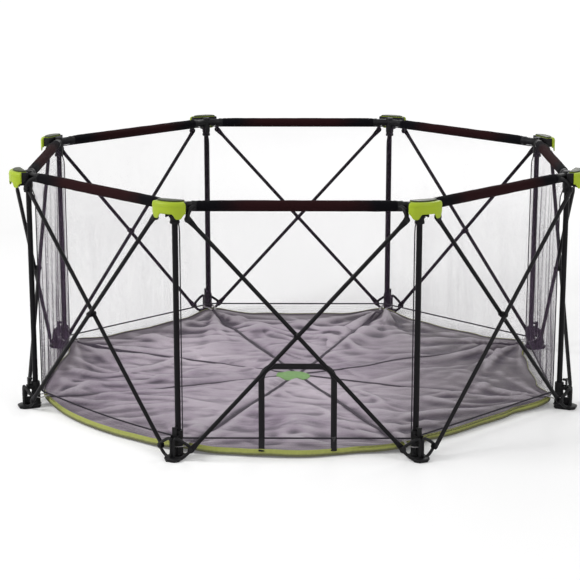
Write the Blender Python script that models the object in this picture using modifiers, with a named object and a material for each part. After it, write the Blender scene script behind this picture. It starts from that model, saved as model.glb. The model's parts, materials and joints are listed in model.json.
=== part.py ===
"""Travel play yard: eight posts with hubs and feet, crossed struts, padded rails, net wall and fabric floor.

Metres, +Z up. The origin is on the ground under the middle of the yard, and the panel with the door faces -Y.
Corners and panels are numbered counterclockwise seen from above. Panel k runs from corner k to corner k + 1.

The frame folds like a ring of scissors. In every panel the outer strut runs from foot k up to hub k + 1, and
the inner strut from foot k + 1 up to hub k, and they are riveted where they cross. As the struts stand up, the
feet draw together, the hubs rise straight up, and each post, fixed in its hub, lifts out of its foot's collar.
"""

import math

import bmesh
import bpy
from mathutils import Matrix, Vector

# Driving dimensions of the yard.
CORNERS = 8
PANEL_WIDTH = 0.603
RAIL_HEIGHT = 0.650
HUB_TOP = 0.670
UPPER_PIVOT_HEIGHT = 0.622
LOWER_PIVOT_HEIGHT = 0.030
PIVOT_OFFSET = 0.034
STRUT_OUTSET = 0.032

# Round stock.
POST_RADIUS = 0.0075
POST_WALL = 0.0012
POST_BOTTOM = 0.046
POST_TOP = 0.655
STRUT_RADIUS = 0.0055
STRUT_STAGGER = 0.0065
SIDES = 10
SMALL_SIDES = 6
TUBE_SIDES = 8

# Pivots: a stud on one piece turns in an eye of the other.
EYE_RADIUS = 0.0082
EYE_THICKNESS = 0.005
EYE_NECK = 0.018
EYE_HOLE_RADIUS = 0.0040
STUD_RADIUS = 0.003
STUD_HEAD_RADIUS = 0.0056
STUD_HEAD_THICKNESS = 0.002
TUBE_START = 0.011
BOSS_RADIUS = 0.008
ARM_THICKNESS = 0.0076
RUNNING_GAP = 0.0004

# Corner hub.
HUB_HALF_WIDTH = 0.046
HUB_OUTER = 0.050
HUB_INNER = 0.010
HUB_SKIRT_HEIGHT = 0.633
HUB_SOCKET_BOTTOM = 0.606
HUB_BRIDGE_HALF_WIDTH = 0.014
HUB_BEVEL = 0.005
HUB_ARM_REACH = 0.049
HUB_ARM_RADIUS = 0.010
SOCKET_RADIUS = 0.0125
SOCKET_HOLE_RADIUS = 0.0084

# Foot.
PAD_HALF_WIDTH = 0.022
PAD_OUTER = 0.050
PAD_INNER = 0.010
PAD_THICKNESS = 0.009
COLLAR_TOP = 0.072
COLLAR_HOLE_BOTTOM = 0.044

# Latch lever on the outside of each foot.
LATCH_AXIS_HEIGHT = 0.058
LATCH_AXIS_OUT = 0.0200
LATCH_HALF_WIDTH = 0.006
LATCH_THICKNESS = 0.004
LATCH_BOTTOM = 0.035
LATCH_TOP = 0.084
LATCH_TOOTH_REACH = 0.0090
TRUNNION_RADIUS = 0.0016
TRUNNION_HOLE_RADIUS = 0.0025
EAR_INNER = 0.0072
EAR_OUTER = 0.0098

# Soft parts.
RAIL_RADIUS = 0.0135
RAIL_SETBACK = 0.053
WALL_INSET = 0.024
WALL_THICKNESS = 0.002
WALL_BOTTOM = 0.006
WALL_TOP = 0.636
FLOOR_RADIUS = 0.736
FLOOR_BOTTOM = 0.0003
FLOOR_TOP = 0.0045
FLOOR_SIDES = 32

# Zip slider and pull tab of the door in panel 0.
ZIP_X = 0.094
SLIDER_HEIGHT = 0.040
SLIDER_SIZE = Vector((0.010, 0.0046, 0.014))
SLIDER_INSET = 0.0188
BRIDGE_INSET = 0.0160
BRIDGE_RADIUS = 0.0009
BRIDGE_HEIGHT = 0.042
BRIDGE_HALF_LENGTH = 0.0036
BRIDGE_EAR = 0.0012
TAB_EYE_RADIUS = 0.0022
TAB_EYE_HOLE = 0.0015
TAB_WIDTH = 0.0044
TAB_LENGTH = 0.020
TAB_THICKNESS = 0.0014

STEP = 2 * math.pi / CORNERS
APOTHEM = PANEL_WIDTH / (2 * math.tan(STEP / 2))
SPAN = PANEL_WIDTH - 2 * PIVOT_OFFSET
RISE = UPPER_PIVOT_HEIGHT - LOWER_PIVOT_HEIGHT
STRUT_LENGTH = math.hypot(SPAN, RISE)
STRUT_ANGLE = math.atan2(RISE, SPAN)
CROSSING_HEIGHT = (UPPER_PIVOT_HEIGHT + LOWER_PIVOT_HEIGHT) / 2

BLACK = (0.012, 0.011, 0.012, 1.0)
LIME = (0.42, 0.56, 0.03, 1.0)
MAROON = (0.020, 0.010, 0.011, 1.0)
LAVENDER = (0.33, 0.29, 0.33, 1.0)
GREY = (0.36, 0.33, 0.36, 1.0)
DARK_GREY = (0.05, 0.05, 0.055, 1.0)


# Scene and materials


def clear_scene():
    for obj in list(bpy.data.objects):
        bpy.data.objects.remove(obj)


def new_collection(name):
    collection = bpy.data.collections.new(name)
    bpy.context.scene.collection.children.link(collection)
    return collection


def new_material(name, color, roughness, metallic=0.0):
    material = bpy.data.materials.new(name)
    material.use_nodes = True
    shader = material.node_tree.nodes["Principled BSDF"]
    shader.inputs["Base Color"].default_value = color
    shader.inputs["Roughness"].default_value = roughness
    shader.inputs["Metallic"].default_value = metallic
    return material


# Simple solids, made as loose objects and then joined into one mesh


def loose_object(mesh):
    obj = bpy.data.objects.new("tool", mesh)
    bpy.context.scene.collection.objects.link(obj)
    return obj


def box(low, high):
    low, high = Vector(low), Vector(high)
    mesh = bpy.data.meshes.new("box")
    shape = bmesh.new()
    place = Matrix.Translation((low + high) / 2) @ Matrix.Diagonal((*(high - low), 1))
    bmesh.ops.create_cube(shape, size=1, matrix=place)
    shape.to_mesh(mesh)
    shape.free()
    return loose_object(mesh)


def rod(start, end, radius, sides=SIDES):
    """A solid cylinder from start to end."""
    start, end = Vector(start), Vector(end)
    along = end - start
    mesh = bpy.data.meshes.new("rod")
    shape = bmesh.new()
    turn = Vector((0, 0, 1)).rotation_difference(along).to_matrix().to_4x4()
    place = Matrix.Translation((start + end) / 2) @ turn
    bmesh.ops.create_cone(
        shape, cap_ends=True, segments=sides, radius1=radius, radius2=radius, depth=along.length, matrix=place
    )
    shape.to_mesh(mesh)
    shape.free()
    return loose_object(mesh)


def plate(outlines, thickness, place):
    """A flat plate as a mesh object: closed outlines in its own XY plane, first the rim and then the holes."""
    curve = bpy.data.curves.new("plate", "CURVE")
    curve.dimensions = "2D"
    curve.fill_mode = "BOTH"
    curve.extrude = thickness / 2
    for outline in outlines:
        spline = curve.splines.new("POLY")
        spline.points.add(len(outline) - 1)
        for point, (x, y) in zip(spline.points, outline):
            point.co = (x, y, 0, 1)
        spline.use_cyclic_u = True
    obj = loose_object(curve)
    mesh = baked_mesh(obj)
    mesh.transform(place)
    return loose_object(mesh)


def baked_mesh(obj):
    """The evaluated mesh of an object, with loose caps welded, in place of the object."""
    graph = bpy.context.evaluated_depsgraph_get()
    graph.update()
    mesh = bpy.data.meshes.new_from_object(obj.evaluated_get(graph))
    bpy.data.objects.remove(obj)
    shape = bmesh.new()
    shape.from_mesh(mesh)
    bmesh.ops.remove_doubles(shape, verts=shape.verts, dist=0.00001)
    shape.to_mesh(mesh)
    shape.free()
    return mesh


def joined(pieces, cuts=()):
    """One mesh: the pieces united, less the cuts."""
    base, *rest = pieces
    for operation, tools in (("UNION", rest), ("DIFFERENCE", cuts)):
        for tool in tools:
            modifier = base.modifiers.new(operation.lower(), "BOOLEAN")
            modifier.operation = operation
            modifier.solver = "EXACT"
            modifier.object = tool
    mesh = baked_mesh(base)
    for tool in (*rest, *cuts):
        bpy.data.objects.remove(tool)
    return mesh


def arc(centre, radius, start, end, steps):
    """Points of an arc, angles in degrees."""
    points = []
    for i in range(steps + 1):
        angle = math.radians(start + (end - start) * i / steps)
        points.append((centre[0] + radius * math.cos(angle), centre[1] + radius * math.sin(angle)))
    return points


def upright(turn, inset):
    """Places a plate's XY plane upright, X along a panel and Y up, inset from the plane of the posts."""
    turned = Matrix.Rotation(turn, 4, "Z") @ Matrix.Translation((0, inset, 0))
    return turned @ Matrix.Rotation(math.pi / 2, 4, "X")


# Frames: corner k and panel k look along local +Y at the middle of the yard


def panel_frame(k):
    return Matrix.Rotation(k * STEP, 4, "Z") @ Matrix.Translation((0, -APOTHEM, 0))


def corner_frame(k):
    to_corner = Matrix.Translation((-PANEL_WIDTH / 2, 0, 0))
    return panel_frame(k) @ to_corner @ Matrix.Rotation(-STEP / 2, 4, "Z")


def side_frame(side):
    """From a corner, the panel on its right (side 1, outer strut) or on its left (side -1, inner strut)."""
    return Matrix.Rotation(side * STEP / 2, 4, "Z")


# Struts


def eye_outline(reach):
    """A round eye about the origin with a straight neck along +X."""
    neck = STRUT_RADIUS * 0.8
    return arc((0, 0), EYE_RADIUS, 40, 320, 5) + [(reach, -neck), (reach, neck)]


def strut_mesh(crossing_side):
    """A tube along X with a flat eye at each end. The outer strut carries the rivet of the crossing."""
    half = STRUT_LENGTH / 2
    hole = arc((0, 0), EYE_HOLE_RADIUS, 0, 360 - 360 / SMALL_SIDES, SMALL_SIDES - 1)
    flat = Matrix.Rotation(math.pi / 2, 4, "X")
    turned = Matrix.Rotation(math.pi, 4, "Z")
    eyes = [
        plate([eye_outline(EYE_NECK), hole], EYE_THICKNESS, Matrix.Translation((-half, 0, 0)) @ flat),
        plate([eye_outline(EYE_NECK), hole], EYE_THICKNESS, Matrix.Translation((half, 0, 0)) @ turned @ flat),
    ]
    tube = rod((-half + TUBE_START, 0, 0), (half - TUBE_START, 0, 0), STRUT_RADIUS, TUBE_SIDES)
    facing = STRUT_STAGGER - RUNNING_GAP
    back = STRUT_RADIUS
    if crossing_side > 0:
        boss = rod((0, -back, 0), (0, facing, 0), BOSS_RADIUS, TUBE_SIDES)
        through = 2 * STRUT_STAGGER + back + RUNNING_GAP
        stud = rod((0, 0, 0), (0, through + STUD_HEAD_THICKNESS / 2, 0), STUD_RADIUS, SMALL_SIDES)
        head = rod((0, through, 0), (0, through + STUD_HEAD_THICKNESS, 0), STUD_HEAD_RADIUS, SMALL_SIDES)
        return joined([tube, boss, stud, head, *eyes])
    boss = rod((0, -facing, 0), (0, back, 0), BOSS_RADIUS, TUBE_SIDES)
    bore = rod((0, -1.5 * facing, 0), (0, 1.5 * facing, 0), EYE_HOLE_RADIUS, SMALL_SIDES)
    return joined([tube, boss, *eyes], [bore])


# Pivot studs on the arms of the hubs and feet


def pivot_parts(side, height, strut_side):
    """A stud with its head, which holds a strut's eye against one face of an arm: -1 outside, 1 inside."""
    far = STRUT_STAGGER + EYE_THICKNESS / 2 + RUNNING_GAP

    def point(reach):
        return side_frame(side) @ Vector((side * PIVOT_OFFSET, strut_side * reach - STRUT_OUTSET, height))

    stud = rod(point(0), point(far + STUD_HEAD_THICKNESS / 2), STUD_RADIUS, SMALL_SIDES)
    head = rod(point(far), point(far + STUD_HEAD_THICKNESS), STUD_HEAD_RADIUS, SMALL_SIDES)
    return [stud, head]


def arm_inset(strut_side):
    """The middle plane of an arm whose face clears the strut's eye by the running gap."""
    eye_face = STRUT_STAGGER - EYE_THICKNESS / 2 - RUNNING_GAP
    return -STRUT_OUTSET - strut_side * (ARM_THICKNESS / 2 - eye_face)


# Corner hub


def hub_plan():
    """The hub's cap seen from above: a shallow arch outside the post, over the ends of the struts."""
    w = HUB_HALF_WIDTH
    outer = [(-w, -0.018), (-0.042, -0.034), (-0.024, -0.046), (0, -HUB_OUTER)]
    outer += [(-x, y) for x, y in reversed(outer[:-1])]
    return outer + [(0.040, -HUB_INNER), (-0.040, -HUB_INNER)]


def hub_lug_outline(side):
    """The arm that hangs from the cap to the strut's upper pivot, in the plane of the struts."""
    x = side * PIVOT_OFFSET
    top = HUB_SKIRT_HEIGHT + 0.004
    top_edge = [(x + EYE_RADIUS, top), (x - EYE_RADIUS, top)]
    return arc((x, UPPER_PIVOT_HEIGHT), EYE_RADIUS, 180, 360, 4) + top_edge


def hub_mesh():
    cap_place = Matrix.Translation((0, 0, (HUB_TOP + HUB_SKIRT_HEIGHT) / 2))
    cap = plate([hub_plan()], HUB_TOP - HUB_SKIRT_HEIGHT, cap_place)
    bevel = cap.modifiers.new("rounded_edges", "BEVEL")
    bevel.width = HUB_BEVEL
    bevel.segments = 1
    bevel.limit_method = "ANGLE"
    bevel.angle_limit = math.radians(50)
    parts = [loose_object(baked_mesh(cap))]
    parts.append(rod((0, 0, HUB_SOCKET_BOTTOM), (0, 0, HUB_TOP - 0.006), SOCKET_RADIUS))
    half = HUB_BRIDGE_HALF_WIDTH
    parts.append(box((-half, -HUB_OUTER / 2, HUB_SKIRT_HEIGHT + 0.004), (half, 0, HUB_TOP - 0.008)))
    for side in (-1, 1):
        frame = side_frame(side)
        arm_end = frame @ Vector((side * HUB_ARM_REACH, 0, RAIL_HEIGHT))
        parts.append(rod((0, 0, RAIL_HEIGHT), arm_end, HUB_ARM_RADIUS, TUBE_SIDES))
        # The right-hand panel's inner strut and the left-hand panel's outer strut end at this hub.
        place = upright(side * STEP / 2, arm_inset(side))
        parts.append(plate([hub_lug_outline(side)], ARM_THICKNESS, place))
        parts += pivot_parts(side, UPPER_PIVOT_HEIGHT, side)
    socket = rod((0, 0, HUB_SOCKET_BOTTOM - 0.01), (0, 0, POST_TOP + RUNNING_GAP), SOCKET_HOLE_RADIUS)
    return joined(parts, [socket])


# Foot


def foot_arm_outlines(side):
    """An open bracket from the foot's nose up to the strut's lower pivot, in the plane of the struts."""
    rim = [(-0.013, 0.0015), (0.010, 0.0015)]
    rim += arc((PIVOT_OFFSET, LOWER_PIVOT_HEIGHT), EYE_RADIUS, -60, 80, 4)
    rim += [(-0.003, 0.060), (-0.013, 0.060)]
    hole = [(0.0005, 0.011), (0.0185, 0.0195), (0.0205, 0.0350), (0.0005, 0.0485)]
    return [[(side * x, z) for x, z in outline] for outline in (rim, hole)]


def foot_mesh():
    pad = box((-PAD_HALF_WIDTH, -PAD_OUTER, 0), (PAD_HALF_WIDTH, PAD_INNER, PAD_THICKNESS))
    bevel = pad.modifiers.new("rounded_edges", "BEVEL")
    bevel.width = 0.003
    bevel.segments = 1
    parts = [loose_object(baked_mesh(pad))]
    parts.append(rod((0, 0, PAD_THICKNESS / 2), (0, 0, COLLAR_TOP), SOCKET_RADIUS))
    parts.append(box((-0.003, -0.034, 0.005), (0.003, -0.008, 0.030)))
    cuts = [rod((0, 0, COLLAR_HOLE_BOTTOM), (0, 0, COLLAR_TOP + 0.01), SOCKET_HOLE_RADIUS)]
    for side in (-1, 1):
        # The right-hand panel's outer strut and the left-hand panel's inner strut end at this foot.
        place = upright(side * STEP / 2, arm_inset(-side))
        parts.append(plate(foot_arm_outlines(side), ARM_THICKNESS, place))
        parts += pivot_parts(side, LOWER_PIVOT_HEIGHT, -side)
        low_x, high_x = sorted((side * EAR_INNER, side * EAR_OUTER))
        parts.append(box((low_x, -LATCH_AXIS_OUT - 0.004, 0.053), (high_x, -0.006, 0.063)))
    cuts.append(latch_pin(EAR_OUTER + 0.002, TRUNNION_HOLE_RADIUS))
    return joined(parts, cuts)


def latch_pin(half_length, radius):
    ends = [(side * half_length, -LATCH_AXIS_OUT, LATCH_AXIS_HEIGHT) for side in (-1, 1)]
    return rod(*ends, radius, SMALL_SIDES)


def latch_mesh():
    """A rocker on the foot: its tooth leans over the collar against the post, and its top is pulled out."""
    outer = -LATCH_AXIS_OUT - LATCH_THICKNESS / 2
    inner = -LATCH_AXIS_OUT + LATCH_THICKNESS / 2
    w = LATCH_HALF_WIDTH
    lever = box((-w, outer, LATCH_BOTTOM), (w, inner, LATCH_TOP))
    tooth_low = (-w * 0.7, outer + 0.001, LATCH_TOP - 0.006)
    tooth = box(tooth_low, (w * 0.7, -LATCH_TOOTH_REACH, LATCH_TOP - 0.001))
    return joined([lever, tooth, latch_pin(EAR_OUTER, TRUNNION_RADIUS)])


# Posts, rails, wall and floor


def post_mesh():
    """A round tube, open at both ends."""
    rims = [arc((0, 0), r, 0, 360 - 360 / SIDES, SIDES - 1) for r in (POST_RADIUS, POST_RADIUS - POST_WALL)]
    place = Matrix.Translation((0, 0, (POST_BOTTOM + POST_TOP) / 2))
    return baked_mesh(plate(rims, POST_TOP - POST_BOTTOM, place))


def rail_mesh():
    half = PANEL_WIDTH / 2 - RAIL_SETBACK
    return baked_mesh(rod((-half, 0, RAIL_HEIGHT), (half, 0, RAIL_HEIGHT), RAIL_RADIUS))


def octagon(apothem):
    radius = apothem / math.cos(STEP / 2)
    return arc((0, 0), radius, 22.5, 360 - 22.5, CORNERS - 1)


def wall_mesh():
    outer = octagon(APOTHEM - WALL_INSET)
    inner = octagon(APOTHEM - WALL_INSET - WALL_THICKNESS)
    place = Matrix.Translation((0, 0, (WALL_TOP + WALL_BOTTOM) / 2))
    return baked_mesh(plate([outer, inner], WALL_TOP - WALL_BOTTOM, place))


def floor_mesh():
    return baked_mesh(rod((0, 0, FLOOR_BOTTOM), (0, 0, FLOOR_TOP), FLOOR_RADIUS, FLOOR_SIDES))


# Door hardware, in the frame of panel 0


def slider_mesh():
    size = SLIDER_SIZE
    centre = Vector((ZIP_X, SLIDER_INSET + size.y / 2, SLIDER_HEIGHT))
    body = box(centre - size / 2, centre + size / 2)
    bevel = body.modifiers.new("rounded_edges", "BEVEL")
    bevel.width = 0.001
    bevel.segments = 1
    parts = [loose_object(baked_mesh(body))]
    reach = BRIDGE_HALF_LENGTH + BRIDGE_EAR
    for side in (-1, 1):
        low_x, high_x = sorted((ZIP_X + side * BRIDGE_HALF_LENGTH, ZIP_X + side * reach))
        low = (low_x, BRIDGE_INSET - 0.0014, BRIDGE_HEIGHT - 0.0016)
        parts.append(box(low, (high_x, SLIDER_INSET + 0.001, BRIDGE_HEIGHT + 0.0016)))
    ends = [(ZIP_X + side * (reach - 0.0003), BRIDGE_INSET, BRIDGE_HEIGHT) for side in (-1, 1)]
    parts.append(rod(*ends, BRIDGE_RADIUS, SMALL_SIDES))
    return joined(parts)


def tab_mesh():
    half = TAB_WIDTH / 2

    def across(reach, radius):
        ends = [(ZIP_X + side * reach, BRIDGE_INSET, BRIDGE_HEIGHT) for side in (-1, 1)]
        return rod(*ends, radius, TUBE_SIDES)

    low = (ZIP_X - half, BRIDGE_INSET - TAB_THICKNESS / 2, BRIDGE_HEIGHT - TAB_LENGTH)
    grip = box(low, (ZIP_X + half, BRIDGE_INSET + TAB_THICKNESS / 2, BRIDGE_HEIGHT - TAB_EYE_HOLE))
    return joined([across(half, TAB_EYE_RADIUS), grip], [across(2 * half, TAB_EYE_HOLE)])


# Placing: every body has an empty on its joint's axis, and the empties are parented as the frame is jointed


class Yard:
    def __init__(self):
        self.collection = new_collection("travel_play_yard")
        self.bodies = {}

    def body(self, name, parent, place):
        empty = bpy.data.objects.new(name + "_body", None)
        empty.empty_display_size = 0.02
        self.collection.objects.link(empty)
        if parent is not None:
            empty.parent = self.bodies[parent]
            empty.matrix_parent_inverse = self.bodies[parent].matrix_world.inverted()
        empty.matrix_world = Matrix.Translation(place)
        bpy.context.view_layer.update()
        self.bodies[name] = empty

    def piece(self, name, mesh, material, body, place):
        obj = bpy.data.objects.new(name, mesh)
        if not mesh.materials:
            mesh.materials.append(material)
        mesh.shade_smooth()
        mesh.set_sharp_from_angle(angle=math.radians(40))
        self.collection.objects.link(obj)
        empty = self.bodies[body]
        obj.parent = empty
        obj.matrix_parent_inverse = empty.matrix_world.inverted()
        obj.matrix_basis = place


OUTER, INNER = -STRUT_OUTSET - STRUT_STAGGER, -STRUT_OUTSET + STRUT_STAGGER


def lower_pivot(k, end, inset):
    """A strut's lower pivot at the start (end -1) or the end (end 1) of panel k."""
    return panel_frame(k) @ Vector((end * SPAN / 2, inset, LOWER_PIVOT_HEIGHT))


def upper_pivot(k, end, inset):
    return panel_frame(k) @ Vector((end * SPAN / 2, inset, UPPER_PIVOT_HEIGHT))


def crossing_point(k):
    return panel_frame(k) @ Vector((0, -STRUT_OUTSET, CROSSING_HEIGHT))


def build_bodies(yard):
    """The tree of the fold runs both ways round the ring from foot 0; panel 4 closes it, unjoined."""
    yard.body("base", None, corner_frame(0).to_translation())
    half_way = CORNERS // 2
    for k in range(half_way):
        near = "base" if k == 0 else f"foot_{k}"
        far = f"{k + 1}"
        yard.body(f"outer_{k}", near, lower_pivot(k, -1, OUTER))
        yard.body(f"inner_{k}", f"outer_{k}", crossing_point(k))
        yard.body(f"hub_{far}", f"outer_{k}", upper_pivot(k, 1, OUTER))
        yard.body(f"foot_{far}", f"inner_{k}", lower_pivot(k, 1, INNER))
    yard.body("hub_0", "inner_0", upper_pivot(0, -1, INNER))
    for k in range(CORNERS - 1, half_way, -1):
        near = "base" if k == CORNERS - 1 else f"foot_{k + 1}"
        yard.body(f"inner_{k}", near, lower_pivot(k, 1, INNER))
        yard.body(f"outer_{k}", f"inner_{k}", crossing_point(k))
        yard.body(f"hub_{k}", f"inner_{k}", upper_pivot(k, -1, INNER))
        yard.body(f"foot_{k}", f"outer_{k}", lower_pivot(k, -1, OUTER))
    last = half_way
    yard.body(f"outer_{last}", f"foot_{last}", lower_pivot(last, -1, OUTER))
    yard.body(f"inner_{last}", f"foot_{last + 1}", lower_pivot(last, 1, INNER))
    for k in range(CORNERS):
        latch_axis = corner_frame(k) @ Vector((0, -LATCH_AXIS_OUT, LATCH_AXIS_HEIGHT))
        yard.body(f"latch_{k}", "base" if k == 0 else f"foot_{k}", latch_axis)
    yard.body("zip_slider", "hub_0", panel_frame(0) @ Vector((ZIP_X, SLIDER_INSET, SLIDER_HEIGHT)))
    yard.body("zip_pull", "zip_slider", panel_frame(0) @ Vector((ZIP_X, BRIDGE_INSET, BRIDGE_HEIGHT)))


def build_pieces(yard):
    black = new_material("black_plastic", BLACK, 0.45)
    tube = new_material("black_tube", BLACK, 0.35, 0.3)
    lime = new_material("lime_plastic", LIME, 0.4)
    rail_cloth = new_material("rail_fabric", MAROON, 0.85)
    net = new_material("net", LAVENDER, 0.9)
    floor_cloth = new_material("floor_fabric", GREY, 0.85)
    zip_metal = new_material("zip_metal", DARK_GREY, 0.4, 0.6)
    outer_strut, inner_strut = strut_mesh(1), strut_mesh(-1)
    hub, foot, latch, post, rail = hub_mesh(), foot_mesh(), latch_mesh(), post_mesh(), rail_mesh()
    for k in range(CORNERS):
        corner, panel = corner_frame(k), panel_frame(k)
        foot_body = "base" if k == 0 else f"foot_{k}"
        rising = Matrix.Rotation(-STRUT_ANGLE, 4, "Y")
        falling = Matrix.Rotation(STRUT_ANGLE, 4, "Y")
        outer_place = panel @ Matrix.Translation((0, OUTER, CROSSING_HEIGHT)) @ rising
        inner_place = panel @ Matrix.Translation((0, INNER, CROSSING_HEIGHT)) @ falling
        yard.piece(f"strut_outer_{k}", outer_strut, tube, f"outer_{k}", outer_place)
        yard.piece(f"strut_inner_{k}", inner_strut, tube, f"inner_{k}", inner_place)
        yard.piece(f"hub_{k}", hub, lime, f"hub_{k}", corner)
        yard.piece(f"post_{k}", post, tube, f"hub_{k}", corner)
        yard.piece(f"foot_{k}", foot, black, foot_body, corner)
        yard.piece(f"latch_{k}", latch, black, f"latch_{k}", corner)
        yard.piece(f"top_rail_{k}", rail, rail_cloth, f"hub_{k}", panel)
    yard.piece("net_wall", wall_mesh(), net, "base", Matrix.Identity(4))
    yard.piece("floor_mat", floor_mesh(), floor_cloth, "base", Matrix.Identity(4))
    yard.piece("zip_slider", slider_mesh(), zip_metal, "zip_slider", panel_frame(0))
    yard.piece("zip_pull", tab_mesh(), zip_metal, "zip_pull", panel_frame(0))


def main():
    clear_scene()
    yard = Yard()
    build_bodies(yard)
    build_pieces(yard)


main()
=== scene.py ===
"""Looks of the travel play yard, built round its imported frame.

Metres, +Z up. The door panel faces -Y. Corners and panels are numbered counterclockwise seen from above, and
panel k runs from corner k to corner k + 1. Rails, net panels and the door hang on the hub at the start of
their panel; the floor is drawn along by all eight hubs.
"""

import json
import math

import bmesh
import bpy
import numpy as np
from mathutils import Matrix, Vector, noise

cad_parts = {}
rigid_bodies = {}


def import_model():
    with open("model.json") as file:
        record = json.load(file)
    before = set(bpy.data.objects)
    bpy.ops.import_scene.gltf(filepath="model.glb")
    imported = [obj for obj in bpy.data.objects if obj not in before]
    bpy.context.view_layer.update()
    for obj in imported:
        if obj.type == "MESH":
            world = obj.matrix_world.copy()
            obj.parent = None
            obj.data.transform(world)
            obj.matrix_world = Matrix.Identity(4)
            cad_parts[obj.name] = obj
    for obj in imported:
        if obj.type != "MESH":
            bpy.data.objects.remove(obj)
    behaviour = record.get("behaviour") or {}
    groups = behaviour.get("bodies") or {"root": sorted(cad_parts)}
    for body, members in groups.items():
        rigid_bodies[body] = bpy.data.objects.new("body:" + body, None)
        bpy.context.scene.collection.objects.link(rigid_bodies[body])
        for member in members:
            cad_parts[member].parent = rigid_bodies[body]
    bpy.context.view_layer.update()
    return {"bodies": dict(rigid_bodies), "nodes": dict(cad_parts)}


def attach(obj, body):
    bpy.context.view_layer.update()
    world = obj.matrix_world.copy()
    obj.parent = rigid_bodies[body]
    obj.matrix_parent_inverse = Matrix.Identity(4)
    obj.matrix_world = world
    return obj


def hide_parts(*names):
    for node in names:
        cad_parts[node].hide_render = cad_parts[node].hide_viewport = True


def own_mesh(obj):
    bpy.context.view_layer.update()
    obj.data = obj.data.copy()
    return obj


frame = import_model()

# Driving dimensions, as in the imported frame.
CORNERS = 8
PANEL_WIDTH = 0.603
STEP = 2 * math.pi / CORNERS
APOTHEM = PANEL_WIDTH / (2 * math.tan(STEP / 2))
RAIL_HEIGHT = 0.650
HUB_TOP = 0.670
CAP_RIM = 0.6668
UPPER_PIVOT_HEIGHT = 0.622
LOWER_PIVOT_HEIGHT = 0.030
PIVOT_OFFSET = 0.034
STRUT_OUTSET = 0.032
STRUT_STAGGER = 0.0065
SPAN = PANEL_WIDTH - 2 * PIVOT_OFFSET
RISE = UPPER_PIVOT_HEIGHT - LOWER_PIVOT_HEIGHT
STRUT_LENGTH = math.hypot(SPAN, RISE)
STRUT_ANGLE = math.atan2(RISE, SPAN)
CROSSING_HEIGHT = (UPPER_PIVOT_HEIGHT + LOWER_PIVOT_HEIGHT) / 2

# Round stock.
POST_RADIUS = 0.0075
POST_BOTTOM = 0.046
POST_TOP = 0.655
STRUT_RADIUS = 0.0055
EYE_THICKNESS = 0.005
EYE_RADIUS = 0.0082
RIVET_RADIUS = 0.0056

# Rails.
RAIL_RADIUS = 0.0135
RAIL_HALF = PANEL_WIDTH / 2 - 0.053
CUFF_LENGTH = 0.014
STITCH_LENGTH = 0.0045

# Net.
NET_TOP = 0.638
TOP_INSET = 0.003
HEM_HEIGHT = 0.042
HEM_ROW = 0.90
CORNER_INSETS = (0.0235, 0.0235, 0.0165, 0.0165, 0.0235, 0.0235, 0.0165, 0.0165)
NET_COLUMNS = 150
NET_ROWS = 30
NET_PITCH = 0.0026
THREAD_HALF = 0.055
RIB_COUNT = 240
BAND_RIBS = 7
BAND_RIB_DEPTH = 0.0003
HEM_RADIUS = 0.0022
TAPE_RADIUS = 0.0016
PLEATS = (0.0020, 0.0036, 0.0030, 0.0030, 0.0020, 0.0030, 0.0028, 0.0036)
RIB_DEPTHS = (0.00020, 0.00019, 0.00023, 0.00021, 0.00019, 0.00021, 0.00023, 0.00019)

# Floor.
PATCH_CENTRE = Vector((-0.012, -0.022, 0))
PATCH_RADIUS = 0.050
SEAM_HALF = 0.0055
SEAM_START = 0.030
CORNER_REACH = 0.748
LONG_FOLD = 0.0115
SLANT_FOLD = 0.0062
SMALL_FOLD = 0.0026
BACK_FOLD = 0.024
FAN_HEIGHTS = (0.008, 0.010, 0.022, 0.032, 0.034, 0.026, 0.018, 0.011)

# Door in panel 0.
DOOR_LEFT = -0.090
DOOR_RIGHT = 0.094
DOOR_TOP = 0.233
DOOR_FOOT = 0.012
TOOTH_PITCH = 0.0021
DOOR_CORNER = 0.036
DOOR_BAND_WIDTH = 0.0150
BAND_SECTION = ((-1, 0.0), (-0.85, 0.0010), (-0.3, 0.0012), (0.3, 0.0012), (0.85, 0.0010), (1, 0.0))

# Camera, at the photo's angle.
CAMERA_PLACE = (0.0063, -4.865, 1.4434)
CAMERA_LENS = 106.3
CAMERA_PITCH = math.radians(76.33)
CAMERA_TURN = math.radians(0.33)

UP = Vector((0, 0, 1))


# Frames: corner k and panel k look along local +Y at the middle of the yard


def panel_frame(k):
    return Matrix.Rotation(k * STEP, 4, "Z") @ Matrix.Translation((0, -APOTHEM, 0))


def corner_frame(k):
    to_corner = Matrix.Translation((-PANEL_WIDTH / 2, 0, 0))
    return panel_frame(k) @ to_corner @ Matrix.Rotation(-STEP / 2, 4, "Z")


def side_frame(side):
    """From a corner, the panel on its right (side 1) or on its left (side -1)."""
    return Matrix.Rotation(side * STEP / 2, 4, "Z")


def foot_body(k):
    return "base" if k == 0 else f"foot_{k}"


# Places and curves


def corner_bearing(k):
    """Bearing of corner k from the middle of the yard. A share of a corner is a place along its panel."""
    return -math.pi / 2 + STEP * (k - 0.5)


def corner_offset(bearing):
    """How far a bearing is from that of the nearest corner."""
    return (bearing - corner_bearing(0) + STEP / 2) % STEP - STEP / 2


def polar(bearing, reach, height=0.0):
    return Vector((reach * math.cos(bearing), reach * math.sin(bearing), height))


def axis_frame(start, along):
    """A frame at start whose Z points along."""
    turn = UP.rotation_difference(Vector(along)).to_matrix().to_4x4()
    return Matrix.Translation(start) @ turn


def waves(x, y, z):
    """Smooth noise between about -1 and 1."""
    return noise.noise(Vector((x, y, z)))


def ridge(value, width):
    """1 at zero, falling to nothing within about twice the width on both sides."""
    return math.exp(-((value / width) ** 2))


def smooth(t):
    return t * t * (3 - 2 * t)


# Materials


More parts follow.
